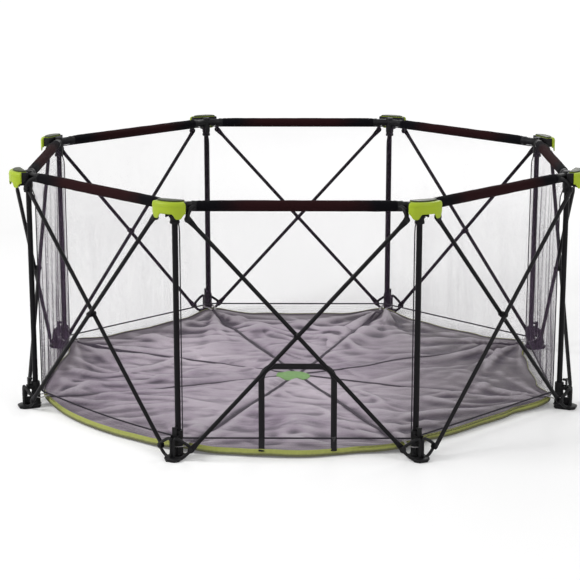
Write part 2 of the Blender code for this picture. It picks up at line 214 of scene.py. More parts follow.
class Graph:
    """A procedural node tree built round one shader, of a new material or of the owner that is given."""

    def __init__(self, name, owner=None, shader="Principled BSDF"):
        self.owner = owner or bpy.data.materials.new(name)
        self.owner.use_nodes = True
        self.nodes = self.owner.node_tree.nodes
        self.links = self.owner.node_tree.links
        self.shader = self.nodes[shader]
        coordinates = self.nodes.new("ShaderNodeTexCoord").outputs
        self.place = coordinates["Object"]
        self.cloth = coordinates["UV"]

    def put(self, socket, value):
        if isinstance(value, bpy.types.NodeSocket):
            self.links.new(value, socket)
        else:
            socket.default_value = value

    def add(self, kind, inputs, output=0, **settings):
        made = self.nodes.new("ShaderNode" + kind)
        for key, value in settings.items():
            setattr(made, key, value)
        for key, value in inputs.items():
            self.put(made.inputs[key], value)
        return made.outputs[output]

    def math(self, operation, *values):
        return self.add("Math", dict(enumerate(values)), operation=operation)

    def noise(self, vector, scale, detail=2.0, roughness=0.5):
        inputs = {"Vector": vector, "Scale": scale, "Detail": detail, "Roughness": roughness}
        return self.add("TexNoise", inputs)

    def ramp(self, factor, *stops):
        made = self.nodes.new("ShaderNodeValToRGB")
        elements = made.color_ramp.elements
        while len(elements) < len(stops):
            elements.new(0.5)
        for element, (position, value) in zip(elements, stops):
            element.position = position
            element.color = value if isinstance(value, tuple) else (value, value, value, 1)
        self.put(made.inputs[0], factor)
        return made.outputs[0]

    def mix(self, factor, a, b):
        return self.add("Mix", {0: factor, 6: a, 7: b}, 2, data_type="RGBA")

    def remap(self, value, low, high, to_low, to_high):
        inputs = {0: value, 1: low, 2: high, 3: to_low, 4: to_high}
        return self.add("MapRange", inputs)

    def split(self, vector, axis):
        return self.add("SeparateXYZ", {0: vector}, axis)

    def relief(self, *layers):
        """A normal from several bumps, each a height, a distance and a strength."""
        normal = None
        for height, distance, strength in layers:
            inputs = {"Height": height, "Distance": distance, "Strength": strength}
            if normal is not None:
                inputs["Normal"] = normal
            normal = self.add("Bump", inputs)
        return normal

    def grade(self, value, low, high, start, end):
        """Goes from the colour start to the colour end as the value goes from low to high."""
        return self.mix(self.remap(value, low, high, 0.0, 1.0), start, end)

    def surface(self, colour, roughness, shine, **others):
        """Ends a material: its colour, roughness and specular level, and any other inputs by name."""
        return self.finish(Base_Color=colour, Roughness=roughness, Specular_IOR_Level=shine, **others)

    def times(self, a, b):
        return self.math("MULTIPLY", a, b)

    def finish(self, **inputs):
        for key, value in inputs.items():
            self.put(self.shader.inputs[key.replace("_", " ")], value)
        return self.owner


def rgb(red, green, blue):
    return (red, green, blue, 1.0)


def plastic(name, dark, light, rough, shine, painted_top_shade=None):
    """Moulded plastic: fine grain, slow changes of tone and gloss. A darker colour, if given, is painted
    shade on the hub's top plate.
    """
    graph = Graph(name)
    colour = graph.mix(graph.noise(graph.place, 18, 3), dark, light)
    if painted_top_shade is not None:
        # Painted shade: the hub's top plate, above the cap's rim, takes the darker colour.
        height = graph.split(graph.place, 2)
        colour = graph.grade(height, CAP_RIM - 0.0004, CAP_RIM + 0.0004, colour, painted_top_shade)
    grain = graph.noise(graph.place, 1400, 2)
    slow = graph.noise(graph.place, 60, 2)
    gloss = graph.remap(slow, 0.3, 0.7, rough - 0.07, rough + 0.09)
    normal = graph.relief((slow, 0.0006, 0.25), (grain, 0.0002, 0.35))
    return graph.surface(colour, gloss, shine, Normal=normal)


def coated_tube(name):
    """Black powder coat: orange peel, dull and faintly scuffed."""
    graph = Graph(name)
    scuffs = graph.ramp(graph.noise(graph.place, 45, 6, 0.7), (0.55, 0.0), (0.75, 1.0))
    colour = graph.mix(scuffs, rgb(0.0022, 0.0017, 0.0028), rgb(0.0065, 0.0055, 0.0075))
    gloss = graph.remap(graph.noise(graph.place, 25, 3), 0.3, 0.7, 0.34, 0.5)
    normal = graph.relief((graph.noise(graph.place, 650, 2), 0.0003, 0.3))
    return graph.surface(colour, gloss, 0.13, Normal=normal)


def weave(graph, pitch):
    """Height of a plain weave over the cloth's own coordinates, 0 to 1."""
    turns = 2 * math.pi / pitch
    across, along = (
        graph.math("SINE", graph.times(graph.split(graph.cloth, axis), turns)) for axis in (0, 1)
    )
    return graph.math("MULTIPLY_ADD", graph.times(across, along), 0.5, 0.5)


def rail_cloth():
    """Sleeve of the rails: very dark maroon between black ends, a woven rib and a stitched seam."""
    graph = Graph("rail_sleeve")
    run = graph.split(graph.cloth, 0)
    warp = graph.math("MULTIPLY_ADD", graph.noise(graph.cloth, 14, 3), 0.08, -0.04)
    reach = graph.math("ADD", graph.math("ABSOLUTE", run), warp)
    threads = graph.noise(graph.cloth, 500, 2)
    maroon = graph.mix(threads, rgb(0.013, 0.0036, 0.0042), rgb(0.025, 0.0075, 0.0085))
    black = graph.mix(threads, rgb(0.0022, 0.0018, 0.0026), rgb(0.006, 0.0055, 0.0075))
    colour = graph.mix(graph.ramp(reach, (0.12, 0.0), (0.20, 1.0)), maroon, black)
    seam = graph.math("ABSOLUTE", graph.split(graph.cloth, 1))
    near = graph.ramp(graph.times(seam, 200), (0.10, 0.0), (0.22, 1.0))
    dash = graph.math("SINE", graph.times(run, 2 * math.pi / STITCH_LENGTH))
    stitch = graph.times(graph.math("GREATER_THAN", dash, 0.0), graph.math("SUBTRACT", 1.0, near))
    colour = graph.mix(stitch, colour, rgb(0.05, 0.045, 0.05))
    lumps = graph.noise(graph.cloth, 40, 4)
    normal = graph.relief((weave(graph, 0.0016), 0.0005, 0.6), (lumps, 0.002, 0.35), (stitch, 0.0006, 0.6))
    return graph.surface(colour, 0.92, 0.05, Normal=normal, Sheen_Weight=0.01)


def net_cloth(name, cover):
    """Open net: crossed threads, each only partly opaque, between clear holes."""
    graph = Graph(name)
    lines = []
    for axis in (0, 1):
        wander = graph.times(graph.noise(graph.cloth, 30 + 9 * axis, 2), 0.004)
        cell = graph.math("DIVIDE", graph.math("ADD", graph.split(graph.cloth, axis), wander), NET_PITCH)
        offset = graph.math("ABSOLUTE", graph.math("SUBTRACT", graph.math("FRACT", cell), 0.5))
        lines.append(graph.math("LESS_THAN", offset, THREAD_HALF))
    threads = graph.math("MAXIMUM", *lines)
    patches = graph.noise(graph.cloth, 5, 3)
    alpha = graph.times(threads, graph.remap(patches, 0.3, 0.7, cover * 0.8, cover * 1.2))
    colour = graph.mix(patches, rgb(0.110, 0.064, 0.120), rgb(0.168, 0.100, 0.180))
    return graph.surface(colour, 0.8, 0.2, Alpha=alpha)


def rib_thread():
    """The net's thick vertical threads, dark with a lavender cast."""
    graph = Graph("net_rib_thread")
    fibre = graph.noise(graph.cloth, 260, 3)
    colour = graph.mix(fibre, rgb(0.034, 0.024, 0.040), rgb(0.084, 0.062, 0.094))
    alpha = graph.remap(graph.noise(graph.cloth, 9, 3), 0.3, 0.7, 0.70, 0.98)
    return graph.surface(colour, 0.85, 0.2, Alpha=alpha)


def floor_cloth():
    """Coated woven floor: grey with a lavender cast, creased in long soft folds, with painted shade in its
    creases, hollows, edge and right side and painted highlight on its ridges.
    """
    graph = Graph("floor_coated_cloth")
    stretched = graph.add("VectorMath", {0: graph.cloth, 1: (1.0, 2.6, 1.0)}, operation="MULTIPLY")
    broad = graph.noise(graph.cloth, 2.6, 4, 0.55)
    streaks = graph.noise(stretched, 5.5, 6, 0.62)
    fine = graph.noise(stretched, 34, 4)
    colour = graph.grade(broad, 0.34, 0.66, rgb(0.245, 0.194, 0.252), rgb(0.560, 0.488, 0.552))
    # Painted shade in the creases, where the streaks that shape the bump are low.
    dark = graph.ramp(streaks, (0.34, 1.0), (0.47, 0.0))
    colour = graph.mix(graph.times(dark, 0.58), colour, rgb(0.095, 0.074, 0.105))
    colour = graph.mix(graph.remap(fine, 0.45, 0.70, 0.0, 0.30), colour, rgb(0.50, 0.46, 0.50))
    # Painted shade towards the floor's edge and its right side.
    shade = graph.add("Attribute", {}, 2, attribute_name="shade")
    colour = graph.mix(shade, colour, rgb(0.120, 0.105, 0.115))
    # Painted shade in the hollows of the folds and painted highlight on their ridges.
    fold = graph.add("Attribute", {}, 2, attribute_name="fold")
    colour = graph.mix(graph.remap(fold, 0.5, 0.0, 0.0, 0.88), colour, rgb(0.045, 0.035, 0.051))
    colour = graph.mix(graph.remap(fold, 0.5, 1.0, 0.0, 0.50), colour, rgb(0.52, 0.48, 0.52))
    normal = graph.relief((streaks, 0.016, 0.35), (fine, 0.0030, 0.40), (weave(graph, 0.0018), 0.0003, 0.4))
    gloss = graph.remap(streaks, 0.3, 0.7, 0.5, 0.72)
    return graph.surface(colour, gloss, 0.30, Normal=normal)


def trim_cloth(name, dark, light, pitch=0.0011):
    """Narrow woven trim: binding, seam tape, webbing."""
    graph = Graph(name)
    colour = graph.mix(graph.noise(graph.cloth, 120, 3), dark, light)
    normal = graph.relief((weave(graph, pitch), 0.0004, 0.7), (graph.noise(graph.cloth, 60, 3), 0.0012, 0.3))
    return graph.surface(colour, 0.8, 0.25, Normal=normal, Sheen_Weight=0.05)


def piping_cloth(name):
    """Lime binding: painted light along its upper edge, painted shade where it turns under, grey on its inner
    face.
    """
    graph = Graph(name)
    fibre = graph.noise(graph.cloth, 120, 3)
    # Lit and shaded copies of the lime: painted light on the upper edge, painted shade where the binding
    # turns under.
    painted_lit_lime = graph.mix(fibre, rgb(0.30, 0.33, 0.085), rgb(0.43, 0.45, 0.13))
    under = graph.mix(fibre, rgb(0.11, 0.11, 0.055), rgb(0.19, 0.19, 0.10))
    inner = graph.mix(fibre, rgb(0.10, 0.09, 0.10), rgb(0.17, 0.155, 0.165))
    height = graph.math("ADD", graph.split(graph.cloth, 1), graph.times(fibre, 0.002))
    colour = graph.grade(height, 0.0115, 0.0150, under, painted_lit_lime)
    colour = graph.grade(height, 0.0225, 0.0245, colour, inner)
    normal = graph.relief((weave(graph, 0.0011), 0.0004, 0.7), (graph.noise(graph.cloth, 45, 3), 0.0025, 0.4))
    return graph.surface(colour, 0.8, 0.25, Normal=normal)


def painted_metal(name):
    """Dark zip metal, with paint worn to a paler tone."""
    graph = Graph(name)
    worn = graph.ramp(graph.noise(graph.place, 420, 4, 0.6), (0.55, 0.0), (0.68, 1.0))
    colour = graph.mix(worn, rgb(0.035, 0.034, 0.038), rgb(0.22, 0.21, 0.20))
    gloss = graph.remap(graph.noise(graph.place, 150, 2), 0.3, 0.7, 0.28, 0.45)
    normal = graph.relief((graph.noise(graph.place, 900, 2), 0.0001, 0.3))
    return graph.finish(Base_Color=colour, Roughness=gloss, Normal=normal, Metallic=0.8)


BLACK = plastic("moulded_black", rgb(0.0030, 0.0028, 0.0034), rgb(0.0075, 0.0070, 0.0078), 0.46, 0.16)
# Painted shade: a dark olive copy of the lime for the hub's top plate.
SHADED_TOP_LIME = rgb(0.024, 0.031, 0.008)
LIME = plastic("moulded_lime", rgb(0.27, 0.36, 0.018), rgb(0.38, 0.49, 0.028), 0.42, 0.20, SHADED_TOP_LIME)
TUBE = coated_tube("powder_coat_black")
RAIL = rail_cloth()
NET = net_cloth("open_net", 0.27)
RIB = rib_thread()
FLOOR = floor_cloth()
HEM = trim_cloth("dark_hem", rgb(0.010, 0.008, 0.012), rgb(0.035, 0.030, 0.040))
BINDING = trim_cloth("black_binding", rgb(0.003, 0.0025, 0.004), rgb(0.010, 0.009, 0.011))
PIPING = piping_cloth("lime_piping")
PATCH = trim_cloth("green_patch", rgb(0.16, 0.34, 0.10), rgb(0.27, 0.44, 0.18), 0.0016)
SEAM = trim_cloth("floor_seam_tape", rgb(0.030, 0.024, 0.033), rgb(0.070, 0.058, 0.075))
# Painted highlight: the elastic loops' pale grey stands in for the highlights on the straps.
PAINTED_HIGHLIGHT_ELASTIC = trim_cloth("elastic_painted_highlight", rgb(0.26, 0.25, 0.26), rgb(0.48, 0.46, 0.46), 0.0014)
ZIP = painted_metal("zip_painted_metal")


# Meshes


class Shape:
    """Collects parts in one mesh, each placed by a matrix. Cloth parts carry coordinates in metres."""

    def __init__(self):
        self.mesh = bmesh.new()
        self.uv = self.mesh.loops.layers.uv.new("UVMap")

    def faces(self, points, faces, coordinates=None, place=None):
        place = place or Matrix.Identity(4)
        made = [self.mesh.verts.new(place @ Vector(p)) for p in points]
        for face in faces:
            new = self.mesh.faces.new([made[i] for i in face])
            if coordinates is not None:
                for loop, i in zip(new.loops, face):
                    loop[self.uv].uv = coordinates[i]
        return self

    def grid(self, rows, coordinates=None, close_rows=False, close_columns=False, place=None):
        """A surface through rows of points. Closing rows joins the last column to the first."""
        height, width = len(rows), len(rows[0])
        faces = []
        for i in range(height if close_columns else height - 1):
            for j in range(width if close_rows else width - 1):
                below, beside = (i + 1) % height, (j + 1) % width
                faces.append((i * width + j, i * width + beside, below * width + beside, below * width + j))
        flat = None if coordinates is None else [c for row in coordinates for c in row]
        return self.faces([p for row in rows for p in row], faces, flat, place)

    def close_ends(self, rows, place=None):
        """Caps the first and the last row of a grid."""
        for row in (rows[0][::-1], rows[-1]):
            self.faces(row, [tuple(range(len(row)))], None, place)
        return self

    def tube(self, path, radius, sides=12, closed=False, place=None, squash=1.0):
        """A tube along points. radius is one number or one for each point, squash the section's flatness."""
        path = [Vector(p) for p in path]
        count = len(path)
        radii = [radius] * count if isinstance(radius, (int, float)) else radius
        rows, coordinates, run = [], [], 0.0
        side = None
        for i, point in enumerate(path):
            before = path[i - 1] if closed or i else point
            after = path[(i + 1) % count] if closed or i < count - 1 else point
            tangent = (after - before).normalized()
            if side is None:
                guide = UP if abs(tangent.z) < 0.9 else Vector((0, 1, 0))
                side = tangent.cross(guide).normalized()
            side = (side - tangent * side.dot(tangent)).normalized()
            up = side.cross(tangent)
            run += (point - path[i - 1]).length if i else 0.0
            row, coordinate_row = [], []
            for j in range(sides):
                angle = 2 * math.pi * j / sides
                row.append(point + radii[i] * (side * math.cos(angle) + up * (math.sin(angle) * squash)))
                coordinate_row.append((run, j / sides * 2 * math.pi * max(radii[i], 0.001)))
            rows.append(row)
            coordinates.append(coordinate_row)
        self.grid(rows, coordinates, close_rows=True, close_columns=closed, place=place)
        return self if closed else self.close_ends(rows, place)

    def lathe(self, profile, sides=24, place=None):
        """A turned part: (radius, height) from one end to the other, about local Z."""
        rows = [[polar(2 * math.pi * j / sides, r, z) for j in range(sides)] for r, z in profile]
        return self.grid(rows, close_rows=True, place=place).close_ends(rows, place)

    def prism(self, outline, low, high, bevel=0.0, segments=2, place=None):
        """An upright block with this outline, its edges rounded."""
        part = bmesh.new()
        base = part.faces.new([part.verts.new((x, y, low)) for x, y in outline])
        risen = bmesh.ops.extrude_face_region(part, geom=[base])["geom"]
        lifted = [v for v in risen if isinstance(v, bmesh.types.BMVert)]
        bmesh.ops.translate(part, vec=(0, 0, high - low), verts=lifted)
        bmesh.ops.recalc_face_normals(part, faces=part.faces)
        if bevel:
            sharp = [e for e in part.edges if e.calc_face_angle(0) > math.radians(25)]
            bmesh.ops.bevel(
                part, geom=sharp, offset=bevel, segments=segments, profile=0.5,
                affect="EDGES", clamp_overlap=True,
            )
        if place is not None:
            bmesh.ops.transform(part, matrix=place, verts=part.verts)
        joined = bpy.data.meshes.new("part")
        part.to_mesh(joined)
        part.free()
        self.mesh.from_mesh(joined)
        bpy.data.meshes.remove(joined)
        return self

    def box(self, low, high, bevel=0.0, place=None):
        (x0, y0, z0), (x1, y1, z1) = low, high
        outline = [(x0, y0), (x1, y0), (x1, y1), (x0, y1)]
        return self.prism(outline, z0, z1, bevel, place=place)

    def object(self, name, material, sharp=40):
        bmesh.ops.remove_doubles(self.mesh, verts=self.mesh.verts, dist=0.000005)
        bmesh.ops.recalc_face_normals(self.mesh, faces=self.mesh.faces)
        mesh = bpy.data.meshes.new(name)
        self.mesh.to_mesh(mesh)
        self.mesh.free()
        mesh.materials.append(material)
        mesh.shade_smooth()
        mesh.set_sharp_from_angle(angle=math.radians(sharp))
        made = bpy.data.objects.new(name, mesh)
        bpy.context.scene.collection.objects.link(made)
        return made


def placed_copy(shared, name, place):
    """Another object with the same mesh, put in its place in the yard."""
    mesh = shared.data.copy()
    mesh.transform(place)
    made = bpy.data.objects.new(name, mesh)
    bpy.context.scene.collection.objects.link(made)
    return made


def smooth_path(points, steps):
    """A Catmull-Rom curve through points."""
    points = [Vector(p) for p in points]
    padded = [2 * points[0] - points[1], *points, 2 * points[-1] - points[-2]]
    path = []
    for i in range(len(points) - 1):
        a, b, c, d = padded[i : i + 4]
        bend, twist = 2 * a - 5 * b + 4 * c - d, 3 * b - a - 3 * c + d
        for t in (j / steps for j in range(steps)):
            path.append(0.5 * (2 * b + (c - a) * t + bend * t**2 + twist * t**3))
    return path + [points[-1]]


def rivet(shape, centre, outward, radius=RIVET_RADIUS, height=0.002):
    """A domed rivet head standing outward from centre."""
    profile = [(radius, 0), (radius, height * 0.35), (radius * 0.8, height * 0.75), (radius * 0.4, height)]
    profile.append((0.0002, height * 1.05))
    shape.lathe(profile, 18, axis_frame(centre, outward))


def lug_inset(facing):
    """The middle plane of a lug that lies beside a strut's eye, facing it with side 1 or -1."""
    return -STRUT_OUTSET - facing * 0.0002


def pivot_lug(shape, side, facing, height):
    """The lug, pin and two rivet heads that hold a strut's eye on one side of a hub or foot."""
    turn = side_frame(side)
    inset = lug_inset(facing)
    far = STRUT_STAGGER + EYE_THICKNESS / 2
    outward = turn.to_3x3() @ Vector((0, facing, 0))
    middle, back, pin, front = (
        turn @ Vector((side * PIVOT_OFFSET, reach, height))
        for reach in (inset, inset - facing * 0.0036, -STRUT_OUTSET, facing * far - STRUT_OUTSET)
    )
    across = Matrix.Translation(middle) @ turn @ Matrix.Rotation(math.pi / 2, 4, "X")
    shape.lathe([(0.0070, -0.0038), (0.0082, -0.0030), (0.0082, 0.0030), (0.0070, 0.0038)], 24, across)
    rivet(shape, front, outward)
    rivet(shape, back, -outward, 0.0050)
    shape.lathe([(0.0029, 0.0), (0.0029, far)], 14, axis_frame(pin, outward))


# Posts and struts


def post_object():
    bore, chamfer = POST_RADIUS - 0.0012, 0.0004
    profile = [(bore, POST_BOTTOM + 0.010), (bore, POST_BOTTOM), (POST_RADIUS - chamfer, POST_BOTTOM)]
    profile += [(POST_RADIUS, POST_BOTTOM + chamfer), (POST_RADIUS, POST_TOP)]
    return Shape().lathe(profile, 28).object("post", TUBE)


def strut_object(outer):
    """A tube flattened into an eye at both ends, with a rivet where it crosses its partner."""
    half = STRUT_LENGTH / 2
    ends = [
        (EYE_RADIUS, 0.0010, 0.0010),
        (EYE_RADIUS - 0.0006, 0.0021, 0.0034),
        (0.0060, EYE_THICKNESS / 2, 0.0060),
        (0.0030, EYE_THICKNESS / 2, 0.0078),
        (0.0, EYE_THICKNESS / 2, EYE_RADIUS),
        (-0.0060, EYE_THICKNESS / 2, 0.0080),
        (-0.0140, 0.0031, 0.0073),
        (-0.0220, 0.0046, 0.0062),
        (-0.0300, STRUT_RADIUS, STRUT_RADIUS),
    ]
    stations = [(-half - out, thick, tall) for out, thick, tall in ends]
    stations += [(x, STRUT_RADIUS, STRUT_RADIUS) for x in (-half / 2, -0.012, 0.012, half / 2)]
    stations += [(-x, thick, tall) for x, thick, tall in reversed(stations[: len(ends)])]
    sides = 20
    rows = []
    for x, thick, tall in stations:
        power = 0.75 if thick < STRUT_RADIUS else 1.0
        row = []
        for j in range(sides):
            angle = 2 * math.pi * j / sides
            y, z = math.cos(angle), math.sin(angle)
            row.append((x, math.copysign(abs(y) ** power, y) * thick, z * tall))
        rows.append(row)
    shape = Shape().grid(rows, close_rows=True).close_ends(rows)
    facing = STRUT_STAGGER - 0.0004
    along_y = Matrix.Rotation(-math.pi / 2, 4, "X")
    washer = [(0.0080, 0), (0.0082, 0.001), (0.0082, facing - 0.0006), (0.0076, facing)]
    if outer:
        shape.lathe(washer, 24, along_y)
        rivet(shape, (0, -STRUT_RADIUS + 0.0004, 0), (0, -1, 0), 0.0062, 0.0018)
        rivet(shape, (0, 2 * STRUT_STAGGER + STRUT_RADIUS, 0), (0, 1, 0), 0.0056, 0.0018)
    else:
        shape.lathe(washer, 24, Matrix.Rotation(math.pi / 2, 4, "X"))
    return shape.object("strut", TUBE)


# Hub: a lime cap outside, over a black core with the rail arms and the strut lugs


def mirrored_line(half, samples):
    """A smooth plan from its left end round the outside to its right end."""
    whole = half + [(-x, y) for x, y in reversed(half[:-1])]
    return smooth_path([(x, y, 0) for x, y in whole], samples)


def cap_line(samples):
    half = [(-0.0455, -0.0285), (-0.0440, -0.0335), (-0.0360, -0.0405), (-0.0190, -0.0475), (0.0, -0.0500)]
    return mirrored_line(half, samples)


def core_line(samples):
    half = [(-0.0455, -0.014), (-0.0440, -0.028), (-0.0360, -0.0385), (-0.0190, -0.0460), (0.0, -0.0480)]
    return mirrored_line(half, samples)


def cap_skirt(x):
    """Height of the cap's lower edge: a rounded tab over each strut's pivot."""
    tab = math.exp(-(((abs(x) - 0.0310) / 0.0105) ** 4))
    return 0.6375 - 0.0130 * tab


def hub_cap_object():
    line = cap_line(14)
    rows = []
    for i, point in enumerate(line):
        before, after = line[max(i - 1, 0)], line[min(i + 1, len(line) - 1)]
        inward = UP.cross(after - before).normalized()
        low = cap_skirt(point.x)
        end = min(i, len(line) - 1 - i)
        tuck = 0.003 * max(0, 4 - end) / 4
        section = [
            (0.0028, low + 0.0010), (0.0016, low), (0.0004, low + 0.0010), (0.0, low + 0.004),
            (0.0, 0.6575), (0.0006, 0.6618), (0.0022, 0.6648), (0.0050, 0.6662), (0.0110, 0.6666),
            (0.0120, 0.6660), (0.0120, 0.6640), (0.0060, 0.6630), (0.0028, 0.6590),
        ]
        rows.append([point + inward * (reach + tuck) + UP * height for reach, height in section])
    shape = Shape().grid(rows, close_rows=True).close_ends(rows)
    rim = [line[i] + UP * 0.6565 for i in range(4, len(line) - 4)]
    shape.tube(rim, 0.0007, 8)
    # The top plate, which the lime material colours with painted shade.
    plate = [(p.x * 0.78, p.y * 0.78 - 0.0010) for p in core_line(3)]
    plate = [(-0.034, -0.012), *plate[1:-1], (0.034, -0.012)]
    shape.prism(plate, 0.6640, HUB_TOP, 0.0018, 3)
    return shape.object("hub_cap", LIME, 50)


def hub_core_object():
    shape = Shape()
    plan = [(p.x * 0.93, p.y * 0.93 - 0.0005) for p in core_line(2)]
    plan = [(-0.040, -0.008), *plan[1:-1], (0.040, -0.008)]
    shape.prism(plan, 0.6400, 0.6655, 0.0010)
    shape.lathe(
        [
            (0.0086, 0.6062), (0.0118, 0.6060), (0.0125, 0.6068), (0.0125, 0.6120), (0.0114, 0.6132),
            (0.0114, 0.6180), (0.0125, 0.6192), (0.0125, 0.6610), (0.0110, 0.6645), (0.0060, 0.6660),
        ],
        28,
    )
    for x in (-0.010, 0.0, 0.010):
        shape.box((x - 0.0012, -0.030, 0.6260), (x + 0.0012, -0.008, 0.6410), 0.0005)
    arm = {0.0: 0.0112, 0.020: 0.0112, 0.040: 0.0112, 0.043: 0.0128, 0.0445: 0.0130, 0.058: 0.0122}
    for side in (-1, 1):
        turn = side_frame(side)
        shape.tube([turn @ Vector((side * x, 0, RAIL_HEIGHT)) for x in arm], list(arm.values()), 24)
        elbow = [
            (0.0550, -0.0040, 0.6470), (0.0470, -0.0120, 0.6490), (0.0390, -0.0220, 0.6440),
            (0.0345, -0.0295, 0.6340), (PIVOT_OFFSET, lug_inset(side), UPPER_PIVOT_HEIGHT),
        ]
        shape.tube(smooth_path([turn @ Vector((side * x, y, z)) for x, y, z in elbow], 5), 0.0058, 14)
        pivot_lug(shape, side, side, UPPER_PIVOT_HEIGHT)
    return shape.object("hub_core", BLACK)


# Foot: pad, collar for the post and two open brackets that carry the lower pivots


def foot_object():
    shape = Shape()
    half, outer, inner = 0.022, -0.050, 0.010
    pad = [(-half, outer + 0.012), (-half + 0.010, outer), (half - 0.010, outer), (half, outer + 0.012)]
    pad += [(half, inner - 0.004), (half - 0.006, inner), (-half + 0.006, inner), (-half, inner - 0.004)]
    shape.prism(pad, 0.0022, 0.0088, 0.0018)
    sole = [(x * 0.93, y * 0.95 - 0.001) for x, y in pad]
    shape.prism(sole, 0.0, 0.0026, 0.0006)
    shape.lathe(
        [
            (0.0150, 0.0080), (0.0134, 0.0105), (0.0125, 0.0140), (0.0125, 0.0430), (0.0116, 0.0445),
            (0.0116, 0.0475), (0.0125, 0.0490), (0.0125, 0.0690), (0.0118, 0.0718), (0.0088, 0.0720),
            (0.0086, 0.0700), (0.0086, 0.0480),
        ],
        28,
    )
    shape.prism([(-0.003, -0.034), (0.003, -0.034), (0.003, -0.008), (-0.003, -0.008)], 0.005, 0.030, 0.0008)
    bar = [(-0.0085, 0.0075), (0.0040, 0.0070), (0.0180, 0.0130), (0.0300, 0.0235), (0.0345, 0.0300)]
    bar += [(0.0310, 0.0370), (0.0160, 0.0480), (0.0020, 0.0560), (-0.0080, 0.0550), (-0.0095, 0.0300)]
    for side in (-1, 1):
        turn = side_frame(side)
        loop = [turn @ Vector((side * x, lug_inset(-side), z)) for x, z in [*bar, bar[0]]]
        shape.tube(smooth_path(loop, 4)[:-1], 0.0042, 12, closed=True)
        pivot_lug(shape, side, -side, LOWER_PIVOT_HEIGHT)
        low, high = sorted((side * 0.0072, side * 0.0098))
        shape.box((low, -0.0245, 0.0530), (high, -0.0060, 0.0630), 0.0008)
    return shape.object("foot", BLACK)


# Rails: padded sleeves over the frame's top tubes


def rail_object(seed):
    """A padded sleeve along local X, gathered at its cuffs, with a sewn seam underneath."""
    around, along = 40, 190
    girth = 2 * math.pi * RAIL_RADIUS
    rows, coordinates = [], []
    for i in range(along + 1):
        t = i / along
        x = -RAIL_HALF + 2 * RAIL_HALF * t
        end = RAIL_HALF - abs(x)
        body = 1 - math.exp(-end / 0.007)
        cuff = 1.0 if end > CUFF_LENGTH else 0.0
        neck = ridge(end - CUFF_LENGTH, 0.0022)
        base = 0.0119 + 0.0019 * body - 0.0010 * neck
        row = []
        for j in range(around):
            angle = 2 * math.pi * j / around
            across, up = math.cos(angle), math.sin(angle)
            lump = waves(x * 22, across * 1.1, up * 1.1 + seed * 7) * 0.00075 * body
            ring = waves(x * 110, across * 1.6, up * 1.6 + seed * 7)
            pucker = ring * 0.0008 * math.exp(-end / 0.05) * cuff
            seam = 0.0011 * ridge(angle - 1.5 * math.pi, 0.16)
            r = base + lump + pucker - seam
            row.append((x, r * across, r * up))
        rows.append(row)
        coordinates.append([(x, (j / around - 0.75) * girth) for j in range(around)])
    shape = Shape().grid(rows, coordinates, close_rows=True)
    for face in shape.mesh.faces:
        heights = [loop[shape.uv].uv.y for loop in face.loops]
        if max(heights) - min(heights) > girth / 2:
            for loop in face.loops:
                if loop[shape.uv].uv.y < 0:
                    loop[shape.uv].uv.y += girth
    shape.close_ends(rows)
    return shape.object("rail", RAIL, 60)


# Floor edge: how far the floor reaches at each bearing, and how high its edge lies

EDGE_REACH = [
    (-180, 0.712), (-157.5, 0.752), (-151, 0.746), (-135, 0.741), (-126, 0.740), (-112.5, 0.752),
    (-101, 0.737), (-90, 0.737), (-78, 0.722), (-67.5, 0.742), (-60, 0.694), (-45, 0.686), (-34, 0.700),
    (-22.5, 0.758), (-12, 0.700), (0, 0.682), (12, 0.700), (22.5, 0.752), (34, 0.690), (45, 0.668),
    (56, 0.690), (67.5, 0.748), (78, 0.672), (90, 0.652), (102, 0.672), (112.5, 0.748), (124, 0.690),
    (135, 0.672), (146, 0.694), (157.5, 0.752), (168, 0.715), (180, 0.712),
]


def edge_reach(bearing):
    """The floor's radius at a bearing in radians."""
    degrees = (math.degrees(bearing) + 180) % 360 - 180
    for (a, low), (b, high) in zip(EDGE_REACH, EDGE_REACH[1:]):
        if a <= degrees <= b:
            return low + (high - low) * smooth((degrees - a) / (b - a))
    return EDGE_REACH[0][1]


def edge_height(bearing):
    lift = 0.0020 * waves(math.cos(bearing) * 4, math.sin(bearing) * 4, 3.0)
    return 0.0165 + lift + 0.008 * ridge(corner_offset(bearing), math.radians(4.5))


def edge_point(bearing, extra=0.0):
    return polar(bearing, edge_reach(bearing) + extra, edge_height(bearing))


def corner_folds(x, y):
    """Folds that fan out from each corner, where the elastic loops pull on the cloth."""
    height = 0.0
    for k in range(CORNERS):
        bearing = corner_bearing(k)
        towards = polar(bearing, CORNER_REACH) - Vector((x, y, 0))
        distance = towards.length
        if distance > 0.60:
            continue
        turn = math.atan2(towards.y, towards.x) - bearing
        turn = (turn + math.pi) % (2 * math.pi) - math.pi
        wave = math.cos(11.0 * turn + 1.9 * k + 1.4 * waves(x * 4, y * 4, 40.0 + k))
        fade = math.exp(-distance / 0.24) * min(1.0, distance / 0.06)
        height += FAN_HEIGHTS[k] * ridge(wave - 1.0, 0.75) * fade
    return height


def seam_distance(x, y):
    """Distance from the nearest of the seams that run from the middle to the corners."""
    return math.hypot(x, y) * abs(math.sin(corner_offset(math.atan2(y, x))))


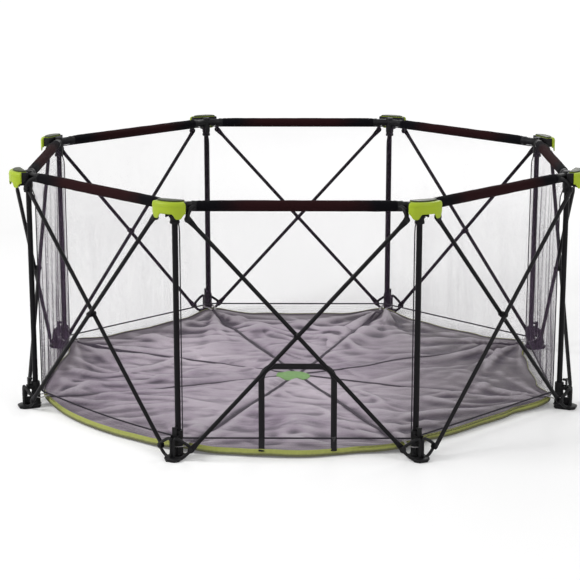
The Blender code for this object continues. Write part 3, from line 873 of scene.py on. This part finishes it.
def floor_height(x, y):
    """Height of the floor's cloth: long soft folds between taut seams, one long fold at the back right, fans
    of folds at the corners, and the lift at its edge."""
    r, bearing = math.hypot(x, y), math.atan2(y, x)
    reach = edge_reach(bearing)
    warp = waves(x * 1.9, y * 1.9, 5.0)
    other = waves(x * 2.2, y * 2.2, 25.0)
    long_wave = waves(x * 1.7 + warp * 0.9, y * 5.2 + other * 1.3, 1.0)
    slant = waves(x * 2.9 - y * 1.6 + other * 0.8, y * 8.0 + x * 2.0 + warp * 1.6, 9.0)
    small = waves(x * 6.5 + other * 1.5, y * 17.0 + warp * 2, 14.0)
    fine = waves(x * 17.0 + warp * 2, y * 40.0, 2.0)
    folds = LONG_FOLD * ridge(long_wave - 0.05, 0.12) + SLANT_FOLD * ridge(slant, 0.13)
    folds += SMALL_FOLD * ridge(small, 0.22) + 0.0050 * max(0.0, long_wave) + 0.0013 * fine
    taut = ridge(seam_distance(x, y), 0.017)
    folds = folds * (1 - 0.85 * taut) - 0.0010 * taut
    from_back_fold = (x * 0.90 - y * 0.43) - 0.02 + 0.06 * warp
    folds += BACK_FOLD * ridge(from_back_fold, 0.034) * min(1.0, max(0.0, y - 0.12) * 3.5)
    folds += corner_folds(x, y)
    middle = min(1.0, r / 0.09) ** 2
    inside = 1 - min(1.0, max(0.0, (r / reach - 0.88) / 0.12))
    height = 0.0030 + max(0.0, folds) * middle
    return height * inside + (1 - inside) * edge_height(bearing)


def on_floor(x, y, lift=0.0):
    return Vector((x, y, floor_height(x, y) + lift))


def fold_shading(rows, reach):
    """For each point of a ring of rows, how far it stands above the cloth round it: 0.5 is level. The floor's
    colour takes painted shade in the hollows and painted highlight on the ridges from it.
    """
    heights = np.array([[p.z for p in row] for row in rows])
    around = sum(np.roll(heights, shift, axis=1) for shift in range(-reach, reach + 1)) / (2 * reach + 1)
    padded = np.pad(around, ((reach, reach), (0, 0)), mode="edge")
    mean = sum(padded[i : i + len(rows)] for i in range(2 * reach + 1)) / (2 * reach + 1)
    return np.clip(0.5 + (heights - mean) / 0.0060, 0, 1)


def edge_shade(x, y):
    """Painted shade: darker cloth towards the floor's edge between two corners, where it slopes up to the
    net, more so at the back, and darker towards the right side.
    """
    bearing = math.atan2(y, x)
    share = math.hypot(x, y) / edge_reach(bearing)
    wander = 0.06 * waves(x * 7, y * 7, 60.0)
    rim = min(1.0, max(0.0, (share + wander - 0.72) / 0.24))
    right = min(1.0, max(0.0, (x + 0.5 * wander - 0.10) / 0.35))
    return min(1.0, rim * (0.85 if y > 0 else 0.45) + 0.85 * right)


def floor_object():
    rings, spokes = 120, 520
    rows, coordinates = [], []
    for i in range(1, rings + 1):
        row = []
        for bearing in (2 * math.pi * j / spokes for j in range(spokes)):
            r = edge_reach(bearing) * i / rings
            row.append(on_floor(r * math.cos(bearing), r * math.sin(bearing)))
        rows.append(row)
        coordinates.append([(p.x, p.y) for p in row])
    points = [on_floor(0, 0), *(p for row in rows for p in row)]
    flat = [(0.0, 0.0), *(c for row in coordinates for c in row)]
    faces = [(0, 1 + j, 1 + (j + 1) % spokes) for j in range(spokes)]
    for i in range(rings - 1):
        for j in range(spokes):
            beside = (j + 1) % spokes
            low, high = 1 + i * spokes, 1 + (i + 1) * spokes
            faces.append((low + j, low + beside, high + beside, high + j))
    made = Shape().faces(points, faces, flat).object("floor_cloth", FLOOR, 80)
    # Painted shade and highlight of the folds, and painted shade towards the edge, as attributes for the
    # floor's colour.
    tone = np.concatenate([[0.5], fold_shading(rows, 4).ravel()])
    shade = np.array([edge_shade(p.x, p.y) for p in points])
    for name, values in (("fold", tone), ("shade", shade)):
        attribute = made.data.attributes.new(name, "FLOAT", "POINT")
        attribute.data.foreach_set("value", values.astype(np.float32))
    return made


def seam_object():
    """Taped seams from the middle patch out to the eight corners."""
    shape = Shape()
    section = ((-1, 0.0006), (-0.8, 0.0016), (0, 0.0019), (0.8, 0.0016), (1, 0.0006))
    steps = 90
    for k in range(CORNERS):
        bearing = corner_bearing(k)
        out = polar(bearing, 1.0)
        aside = Vector((-out.y, out.x, 0)) * SEAM_HALF
        reach = edge_reach(bearing) - 0.004
        rows, coordinates = [], []
        for i in range(steps + 1):
            r = SEAM_START + (reach - SEAM_START) * i / steps
            places = [(out * r + aside * offset, lift) for offset, lift in section]
            rows.append([on_floor(p.x, p.y, lift) for p, lift in places])
            coordinates.append([(r, n * 0.002) for n in range(len(section))])
        shape.grid(rows, coordinates)
    return shape.object("floor_seams", SEAM, 80)


def patch_object():
    """Round patch over the point where the seams meet, turned under at its rim."""
    shape = Shape()
    spokes = 72
    profile = [(0.0, 0.0026), (0.25, 0.0026), (0.5, 0.0025), (0.75, 0.0023), (0.90, 0.0021)]
    profile += [(0.925, 0.0016), (0.95, 0.0022), (0.99, 0.0018), (1.0, 0.0006)]
    rows, coordinates = [], []
    for share, lift in profile:
        r = max(share, 0.002) * PATCH_RADIUS
        places = [PATCH_CENTRE + polar(2 * math.pi * j / spokes, r) for j in range(spokes)]
        row = [on_floor(p.x, p.y, lift) for p in places]
        rows.append(row)
        coordinates.append([(p.x, p.y) for p in row])
    shape.grid(rows, coordinates, close_rows=True)
    return shape.object("floor_patch", PATCH, 80)


def piping_object():
    """Lime binding that stands up round the floor's rim, fuller along its lower edge."""
    shape = Shape()
    count = 640
    section = [
        (-0.0016, 0.0010), (0.0010, 0.0004), (0.0042, 0.0016), (0.0052, 0.0046), (0.0038, 0.0078),
        (0.0024, 0.0100), (0.0022, 0.0170), (0.0014, 0.0186), (0.0004, 0.0170), (0.0002, 0.0090),
        (-0.0012, 0.0050), (-0.0022, 0.0030),
    ]
    rows, coordinates = [], []
    for j in range(count):
        bearing = 2 * math.pi * j / count
        rim = edge_point(bearing)
        sag = 0.0012 * waves(bearing * 12, 0, 8.0)
        foot = Vector((rim.x, rim.y, max(0.0, rim.z - 0.0135 + sag)))
        rows.append([foot + polar(bearing, reach, z) for reach, z in section])
        coordinates.append([(j * 0.0073, n * 0.003) for n in range(len(section))])
    shape.grid(rows, coordinates, close_rows=True, close_columns=True)
    return shape.object("floor_piping", PIPING, 60)


# Net panels


def edge_local(k, u):
    """The floor edge at share u of panel k, in the panel's own frame."""
    return panel_frame(k).inverted() @ edge_point(corner_bearing(k + u), 0.003)


def net_section(v, full):
    """Inset and height of the net at share v of the way from rail to hem, full being its greatest inset."""
    inset = TOP_INSET + (full - TOP_INSET) * smooth(min(1.0, v / 0.09))
    return inset, NET_TOP - (NET_TOP - HEM_HEIGHT) * v


def full_inset(k, u):
    left, right = CORNER_INSETS[k], CORNER_INSETS[(k + 1) % CORNERS]
    return left + (right - left) * u


def pleat(k, u, v):
    """How far a net panel stands in or out of its own plane."""
    phase = u * PANEL_WIDTH
    drift = waves(phase * 3, v * 1.2, k * 5.0)
    wave = waves(phase * 26 + drift * 2.0, v * 1.3 + drift, k * 11.0)
    slow = waves(phase * 9 + drift, v * 0.9, k * 17.0 + 3)
    rise = min(1.0, v / 0.15) * min(1.0, (1 - v) / 0.06 + 0.15)
    side = min(1.0, min(u, 1 - u) / 0.02)
    near_left = 1 + 1.6 * math.exp(-u / 0.12) if k == 7 else 1.0
    near_right = 1 + 1.6 * math.exp(-(1 - u) / 0.12) if k == 1 else 1.0
    return PLEATS[k] * (0.8 * wave + 2.0 * slow) * rise * side * near_left * near_right


def net_point(k, u, v):
    """A point of the net of panel k, in its own frame: u across, v from the rail down to the floor's edge."""
    share = min(1.0, v / HEM_ROW)
    left, _ = net_section(share, full_inset(k, 0))
    right, _ = net_section(share, full_inset(k, 1))
    inset, height = net_section(share, full_inset(k, u))
    middle = math.sin(math.pi * u)
    above_hem = v <= HEM_ROW
    if above_hem:
        inset += pleat(k, u, share)
    else:
        height -= 0.004 * middle
    if k == 7:
        height -= 0.010 * middle * max(0.0, (v / HEM_ROW - 0.8) / 0.2)
    x = (u - 0.5) * PANEL_WIDTH + ((1 - u) * left - u * right) * math.tan(STEP / 2)
    start = Vector((x, inset, height))
    if above_hem:
        return start
    share = (v - HEM_ROW) / (1 - HEM_ROW)
    point = start.lerp(edge_local(k, u), share)
    point.z -= 0.006 * math.sin(math.pi * share) * (0.4 + 0.6 * middle)
    return point


def net_rows(k, columns):
    """Rows of points from the rail to the hem, then closer together to the floor's edge."""
    skirt = 6
    wall = NET_ROWS - skirt
    shares = [HEM_ROW * i / wall for i in range(wall + 1)]
    shares += [HEM_ROW + (1 - HEM_ROW) * i / skirt for i in range(1, skirt + 1)]
    return [[net_point(k, j / columns, v) for j in range(columns + 1)] for v in shares]


def lengths(rows):
    """Cloth coordinates in metres for rows of points: mean distance across and down."""
    array = np.array([[tuple(p) for p in row] for row in rows])
    across = np.linalg.norm(np.diff(array, axis=1), axis=2).mean(axis=0)
    down = np.linalg.norm(np.diff(array, axis=0), axis=2).mean(axis=1)
    us = np.concatenate([[0], np.cumsum(across)])
    vs = np.concatenate([[0], np.cumsum(down)])
    return [[(u, v) for u in us] for v in vs], float(us[-1]), float(vs[-1])


def net_objects(k):
    rows = net_rows(k, NET_COLUMNS)
    coordinates, width, drop = lengths(rows)
    place = panel_frame(k)
    net = Shape().grid(rows, coordinates, place=place).object(f"net_panel_{k}", NET, 180)
    hem_path = [net_point(k, j / 80, HEM_ROW) for j in range(81)]
    top_path = [net_point(k, j / 40, 0.0) - UP * 0.001 for j in range(1, 40)]
    shape = Shape().tube(hem_path, HEM_RADIUS, 10, place=place).tube(top_path, TAPE_RADIUS, 8, place=place)
    return net, ribs_object(k), shape.object(f"net_hem_{k}", HEM, 60), width, drop


def ribs_object(k):
    """The net's thick threads as thin fins, which look denser where the net is seen edge-on."""
    shape = Shape()
    place = panel_frame(k)
    fine = net_rows(k, RIB_COUNT * 2)
    last = len(fine) - 1
    for i in range(RIB_COUNT):
        column = 2 * i + 1
        strip, coordinates = [], []
        for n, row in enumerate(fine):
            across = (row[column + 1] - row[column - 1]).normalized()
            down = fine[min(n + 1, last)][column] - fine[max(n - 1, 0)][column]
            half = RIB_DEPTHS[k] / 2 * (0.45 + 1.15 * n / last)
            normal = across.cross(down).normalized() * half
            strip.append([row[column] - normal, row[column] + normal])
            coordinates.append([(i * 0.004, n * 0.02), (i * 0.004 + 0.001, n * 0.02)])
        shape.grid(strip, coordinates, place=place)
    for i in range(1, BAND_RIBS):
        v = HEM_ROW + (1 - HEM_ROW) * i / BAND_RIBS
        half = UP * BAND_RIB_DEPTH / 2
        points = [net_point(k, j / 60, v) for j in range(61)]
        coordinates = [[(j * 0.01, i * 0.05), (j * 0.01, i * 0.05 + 0.001)] for j in range(61)]
        shape.grid([[point - half, point + half] for point in points], coordinates, place=place)
    return shape.object(f"net_ribs_{k}", RIB, 180)


def tape_object(k):
    """Bound seam that joins two net panels, down the inside of post k."""
    path = []
    for i in range(41):
        inset, height = net_section(i / 40, CORNER_INSETS[k])
        path.append((0, inset / math.cos(STEP / 2), height))
    return Shape().tube(path, TAPE_RADIUS, 8, place=corner_frame(k)).object(f"corner_tape_{k}", HEM, 80)


def thicken(obj, thickness):
    """Gives a sheet its thickness, with the modifier applied."""
    modifier = obj.modifiers.new("thickness", "SOLIDIFY")
    modifier.thickness = thickness
    modifier.offset = 0
    graph = bpy.context.evaluated_depsgraph_get()
    graph.update()
    mesh = bpy.data.meshes.new_from_object(obj.evaluated_get(graph))
    obj.modifiers.clear()
    obj.data = mesh


# Door


def door_path():
    """The arch of the door in panel 0, as (across, height), from its left foot over to its right foot."""
    left, right, r = DOOR_LEFT, DOOR_RIGHT, DOOR_CORNER
    spring = DOOR_TOP - r
    quarter = [(r * math.sin(a), r * math.cos(a)) for a in (math.pi / 16 * i for i in range(9))]
    path = [(left, DOOR_FOOT + (spring - DOOR_FOOT) * i / 24) for i in range(24)]
    path += [(left + r - cosine, spring + sine) for sine, cosine in quarter]
    path += [(left + r + (right - left - 2 * r) * i / 16, DOOR_TOP) for i in range(1, 16)]
    path += [(right - r + sine, spring + cosine) for sine, cosine in quarter]
    path += [(right, spring - (spring - DOOR_FOOT) * i / 24) for i in range(1, 25)]
    return path


def door_surface(x, height):
    """The point on the net of panel 0 behind (across, height)."""
    u = 0.5 + x / PANEL_WIDTH
    if height >= HEM_HEIGHT:
        share = (NET_TOP - height) / (NET_TOP - HEM_HEIGHT)
        inset, _ = net_section(share, full_inset(0, u))
        return Vector((x, inset + pleat(0, u, share), height))
    low = edge_local(0, u)
    start = Vector((x, full_inset(0, u), HEM_HEIGHT))
    end = Vector((x, low.y, low.z))
    return end.lerp(start, max(0.0, (height - low.z) / (HEM_HEIGHT - low.z)))


def door_objects():
    """The door's binding, a band with rolled edges, and the zip teeth along its middle."""
    path = door_path()
    inward = Vector((0, 1, 0))
    rows, coordinates, centre_line, run = [], [], [], 0.0
    for i, (x, z) in enumerate(path):
        before, after = path[max(i - 1, 0)], path[min(i + 1, len(path) - 1)]
        tangent = Vector((after[0] - before[0], 0, after[1] - before[1])).normalized()
        aside = Vector((-tangent.z, 0, tangent.x)) * DOOR_BAND_WIDTH / 2
        centre = door_surface(x, z)
        if i:
            run += math.dist((x, z), path[i - 1])
        rows.append([centre + aside * share - inward * (0.0008 + lift) for share, lift in BAND_SECTION])
        coordinates.append([(run, j * 0.0025) for j in range(len(BAND_SECTION))])
        centre_line.append(centre - inward * 0.0022)
    place = panel_frame(0)
    band = Shape().grid(rows, coordinates, place=place).object("door_binding", BINDING, 80)
    thicken(band, 0.0010)
    shape = Shape()
    for i, (point, tangent) in enumerate(resample(centre_line, TOOTH_PITCH)):
        aside = tangent.cross(inward).normalized()
        middle = point + aside * (0.0009 if i % 2 else -0.0009)
        turn = Matrix((tangent, inward, aside)).transposed().to_4x4()
        tooth = place @ Matrix.Translation(middle) @ turn
        shape.box((-0.00065, -0.0008, -0.0013), (0.00065, 0.0006, 0.0013), 0.0003, place=tooth)
    return band, shape.object("door_zip_teeth", BINDING, 40)


def resample(path, spacing):
    """Points and directions at an even spacing along a path."""
    made, carry = [], 0.0
    for a, b in zip(path, path[1:]):
        length = (b - a).length
        if not length:
            continue
        tangent = (b - a) / length
        while carry < length:
            made.append((a + tangent * carry, tangent))
            carry += spacing
        carry -= length
    return made


def slider_object():
    """Zip slider: two plates joined by a core, with a bridge for the pull."""
    x, inset, height = DOOR_RIGHT, 0.0188, 0.040
    centre = Matrix.Translation((x, inset, height))
    flat = centre @ Matrix.Rotation(math.pi / 2, 4, "X")
    plate = [(-0.0030, -0.0070), (0.0030, -0.0070), (0.0050, 0.0010), (0.0050, 0.0070), (-0.0050, 0.0070)]
    plate.append((-0.0050, 0.0010))
    shape = Shape()
    for low in (-0.0012, -0.0046):
        shape.prism(plate, low, low + 0.0012, 0.0004, place=flat)
    shape.box((-0.0010, 0.0, -0.0040), (0.0010, 0.0046, 0.0040), 0.0003, place=centre)
    bridge = [(inset, 0.0455), (0.0150, 0.0448), (0.0140, 0.0420), (0.0150, 0.0392), (inset, 0.0385)]
    shape.tube(smooth_path([(x, y, z) for y, z in bridge], 5), 0.0009, 10)
    slider = shape.object("zip_slider_body", ZIP)
    slider.data.transform(panel_frame(0))
    return slider


def pull_object():
    """Pull tab: a ring on the bridge and a grip with a raised rim."""
    x, inset, height = DOOR_RIGHT, 0.0160, 0.042
    radius = 0.0018
    turns = (2 * math.pi * i / 20 for i in range(20))
    ring = [(x + radius * math.cos(a), inset, height + radius * math.sin(a)) for a in turns]
    grip = [(-0.0014, -0.0018), (0.0014, -0.0018), (0.0022, -0.0060), (0.0022, -0.0180), (0.0012, -0.0200)]
    grip += [(-0.0012, -0.0200), (-0.0022, -0.0180), (-0.0022, -0.0060)]
    flat = Matrix.Translation((x, inset, height)) @ Matrix.Rotation(math.pi / 2, 4, "X")
    shape = Shape().tube(ring, 0.0007, 8, closed=True)
    shape.prism(grip, -0.0005, 0.0005, 0.0003, place=flat)
    shape.tube([(x + px * 0.9, inset, height + pz) for px, pz in grip], 0.00055, 8, closed=True)
    pull = shape.object("zip_pull_tab", ZIP)
    pull.data.transform(panel_frame(0))
    return pull


# Elastic loops that hold the floor's corners to the feet


def loop_object(k):
    """A flat elastic strap from the floor's corner round the foot's collar and back."""
    corner = corner_frame(k)
    start = corner.inverted() @ edge_point(corner_bearing(k), -0.012)
    shape = Shape()
    for side in (-1, 1):
        path = [
            (side * 0.007, start.y, start.z + 0.0016),
            (side * 0.011, start.y * 0.62 + 0.005, start.z + 0.006),
            (side * 0.0148, 0.010, 0.0275),
            (side * 0.0146, 0.000, 0.0300),
            (side * 0.0110, -0.0100, 0.0310),
            (0.0, -0.0148, 0.0312),
        ]
        shape.tube(smooth_path(path, 6), 0.0038, 10, place=corner, squash=0.26)
    # The strap's pale grey is painted highlight.
    return shape.object(f"elastic_loop_{k}", PAINTED_HIGHLIGHT_ELASTIC, 60)


# Following the fold


def hook(obj, body, weights):
    """Cloth that moves with a body by a share for each vertex."""
    held = [i for i, weight in enumerate(weights) if weight > 0.0005]
    if not held:
        return
    group = obj.vertex_groups.new(name=f"with_{body}")
    for i in held:
        group.add([i], float(weights[i]), "REPLACE")
    modifier = obj.modifiers.new(f"with_{body}", "HOOK")
    modifier.object = frame["bodies"][body]
    modifier.matrix_inverse = Matrix.Identity(4)
    modifier.vertex_group = group.name
    modifier.falloff_type = "NONE"


def hub_shares(points):
    """Each floor point's share of the motion of each hub.

    The middle follows the whole ring, and the edge follows the two nearest corners.
    """
    circumradius = PANEL_WIDTH / (2 * math.sin(STEP / 2))
    shares = np.zeros((len(points), CORNERS))
    for i, (x, y, _) in enumerate(points):
        turn = (math.atan2(y, x) - corner_bearing(0)) % (2 * math.pi)
        k = int(turn // STEP) % CORNERS
        a, b = (polar(corner_bearing(n), circumradius) for n in (k, k + 1))
        area = a.x * b.y - a.y * b.x
        near_a = (x * b.y - y * b.x) / area
        near_b = (a.x * y - a.y * x) / area
        shares[i] += max(0.0, 1 - near_a - near_b) / CORNERS
        shares[i, k] += near_a
        shares[i, (k + 1) % CORNERS] += near_b
    return shares


def gather_with_hubs(obj):
    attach(obj, "base")
    shares = hub_shares([v.co for v in obj.data.vertices])
    for k in range(CORNERS):
        hook(obj, f"hub_{k}", shares[:, k])


def gather_along(obj):
    """Gives the piece its own copy of its mesh."""
    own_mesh(obj)


def fold_with_panel(obj, k):
    """Rides on the hub at the start of panel k, with its own copy of its mesh."""
    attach(obj, f"hub_{k}")
    gather_along(obj)


# Building


def build_hard_pieces():
    cap, core, foot, post = hub_cap_object(), hub_core_object(), foot_object(), post_object()
    outer, inner = strut_object(True), strut_object(False)
    rising = Matrix.Rotation(-STRUT_ANGLE, 4, "Y")
    falling = Matrix.Rotation(STRUT_ANGLE, 4, "Y")
    lines = ((outer, "outer", -STRUT_STAGGER, rising), (inner, "inner", STRUT_STAGGER, falling))
    for k in range(CORNERS):
        corner, panel = corner_frame(k), panel_frame(k)
        for shared, name, body, node, slot in (
            (cap, "hub_cap", f"hub_{k}", f"hub_{k}", "lime_plastic"),
            (core, "hub_core", f"hub_{k}", f"hub_{k}", "black_plastic"),
            (post, "post_tube", f"hub_{k}", f"post_{k}", "black_tube"),
            (foot, "foot_bracket", foot_body(k), f"foot_{k}", "black_plastic"),
        ):
            piece = placed_copy(shared, f"{name}_{k}", corner)
            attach(piece, body)
            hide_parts(node)
        for shared, name, stagger, turn in lines:
            place = panel @ Matrix.Translation((0, stagger - STRUT_OUTSET, CROSSING_HEIGHT)) @ turn
            piece = placed_copy(shared, f"strut_tube_{name}_{k}", place)
            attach(piece, f"{name}_{k}")
            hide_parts(f"strut_{name}_{k}")
        latch = frame["nodes"][f"latch_{k}"]
        latch.data.materials.clear()
        latch.data.materials.append(BLACK)
        rounding = latch.modifiers.new("rounded_edges", "BEVEL")
        rounding.width = 0.0007
        rounding.segments = 2
        rounding.limit_method = "ANGLE"
    for shared in (cap, core, foot, post, outer, inner):
        bpy.data.objects.remove(shared)


def build_rails():
    shared = [rail_object(seed) for seed in range(4)]
    for k in range(CORNERS):
        raised = panel_frame(k) @ Matrix.Translation((0, 0, RAIL_HEIGHT))
        rail = placed_copy(shared[k % len(shared)], f"rail_sleeve_{k}", raised)
        fold_with_panel(rail, k)
        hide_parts(f"top_rail_{k}")
    for rail in shared:
        bpy.data.objects.remove(rail)


def build_nets():
    for k in range(CORNERS):
        net, ribs, hem, width, drop = net_objects(k)
        for piece in (net, ribs, hem):
            fold_with_panel(piece, k)
            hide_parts("net_wall")
        binding = tape_object(k)
        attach(binding, f"hub_{k}")


def build_floor():
    cloth, seams, patch, piping = floor_object(), seam_object(), patch_object(), piping_object()
    slots = ("floor_fabric", "floor_fabric", "piping", "piping")
    for piece, slot in zip((cloth, seams, patch, piping), slots):
        gather_with_hubs(piece)
    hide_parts("floor_mat")
    for k in range(CORNERS):
        loop = loop_object(k)
        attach(loop, "base")
        local = corner_frame(k).inverted()
        depth = np.array([(local @ v.co).y for v in loop.data.vertices])
        share = np.clip((depth - 0.006) / 0.028, 0, 1)
        hook(loop, f"hub_{k}", share)
        if k:
            hook(loop, f"foot_{k}", 1 - share)


def build_door():
    band, teeth = door_objects()
    for piece in (band, teeth):
        fold_with_panel(piece, 0)
    slider, pull = slider_object(), pull_object()
    for piece, body in ((slider, "zip_slider"), (pull, "zip_pull")):
        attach(piece, body)
        gather_along(piece)
        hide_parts(body)


# Stage, light and camera


def background_rays(graph):
    """1 for the rays that show the background: the camera's, and those through glass or off a shine."""
    rays = graph.nodes.new("ShaderNodeLightPath").outputs
    seen = graph.math("MAXIMUM", rays["Is Camera Ray"], rays["Is Transmission Ray"])
    return graph.math("MAXIMUM", seen, rays["Is Glossy Ray"])


def stage_floor():
    """A pale floor that shows white and keeps the shadow under the yard."""
    reach, level = 60.0, -0.0004
    rows = [[(-reach, y, level), (reach, y, level)] for y in (-reach, reach)]
    shape = Shape().grid(rows, [[(0, v), (1, v)] for v in (0, 1)])
    graph = Graph("studio_floor")
    away = graph.add("VectorMath", {0: graph.place}, 1, operation="LENGTH")
    glow = graph.remap(away, 2.4, 6.5, 0.12, 0.60)
    strength = graph.times(background_rays(graph), glow)
    pale = rgb(0.86, 0.86, 0.86)
    material = graph.surface(pale, 0.9, 0.1, Emission_Color=rgb(1, 1, 1), Emission_Strength=strength)
    shape.object("studio_ground", material)


def world_light():
    world = bpy.data.worlds.new("studio")
    graph = Graph("studio", world, "Background")
    graph.finish(Color=rgb(1, 1, 1), Strength=graph.remap(background_rays(graph), 0.0, 1.0, 0.50, 1.0))
    bpy.context.scene.world = world


def area_light(name, place, target, size, power):
    data = bpy.data.lights.new(name, "AREA")
    data.shape = "DISK"
    data.size = size
    data.energy = power
    lamp = bpy.data.objects.new(name, data)
    lamp.location = place
    lamp.rotation_euler = (Vector(target) - Vector(place)).to_track_quat("-Z", "Y").to_euler()
    bpy.context.scene.collection.objects.link(lamp)


def camera():
    data = bpy.data.cameras.new("camera")
    data.lens = CAMERA_LENS
    data.sensor_width = 36
    data.clip_end = 200
    made = bpy.data.objects.new("camera", data)
    made.location = CAMERA_PLACE
    made.rotation_euler = (CAMERA_PITCH, 0, CAMERA_TURN)
    bpy.context.scene.collection.objects.link(made)
    bpy.context.scene.camera = made


build_hard_pieces()
build_rails()
build_nets()
build_floor()
build_door()
stage_floor()
world_light()
area_light("key", (-3.4, -1.2, 3.0), (0, 0, 0.1), 1.8, 115)
area_light("fill", (2.6, -3.4, 3.0), (0, 0, 0.2), 2.4, 55)
area_light("back", (1.0, 3.6, 3.0), (0, 0, 0.2), 2.2, 50)
camera()
bpy.context.scene.view_settings.view_transform = "Standard"
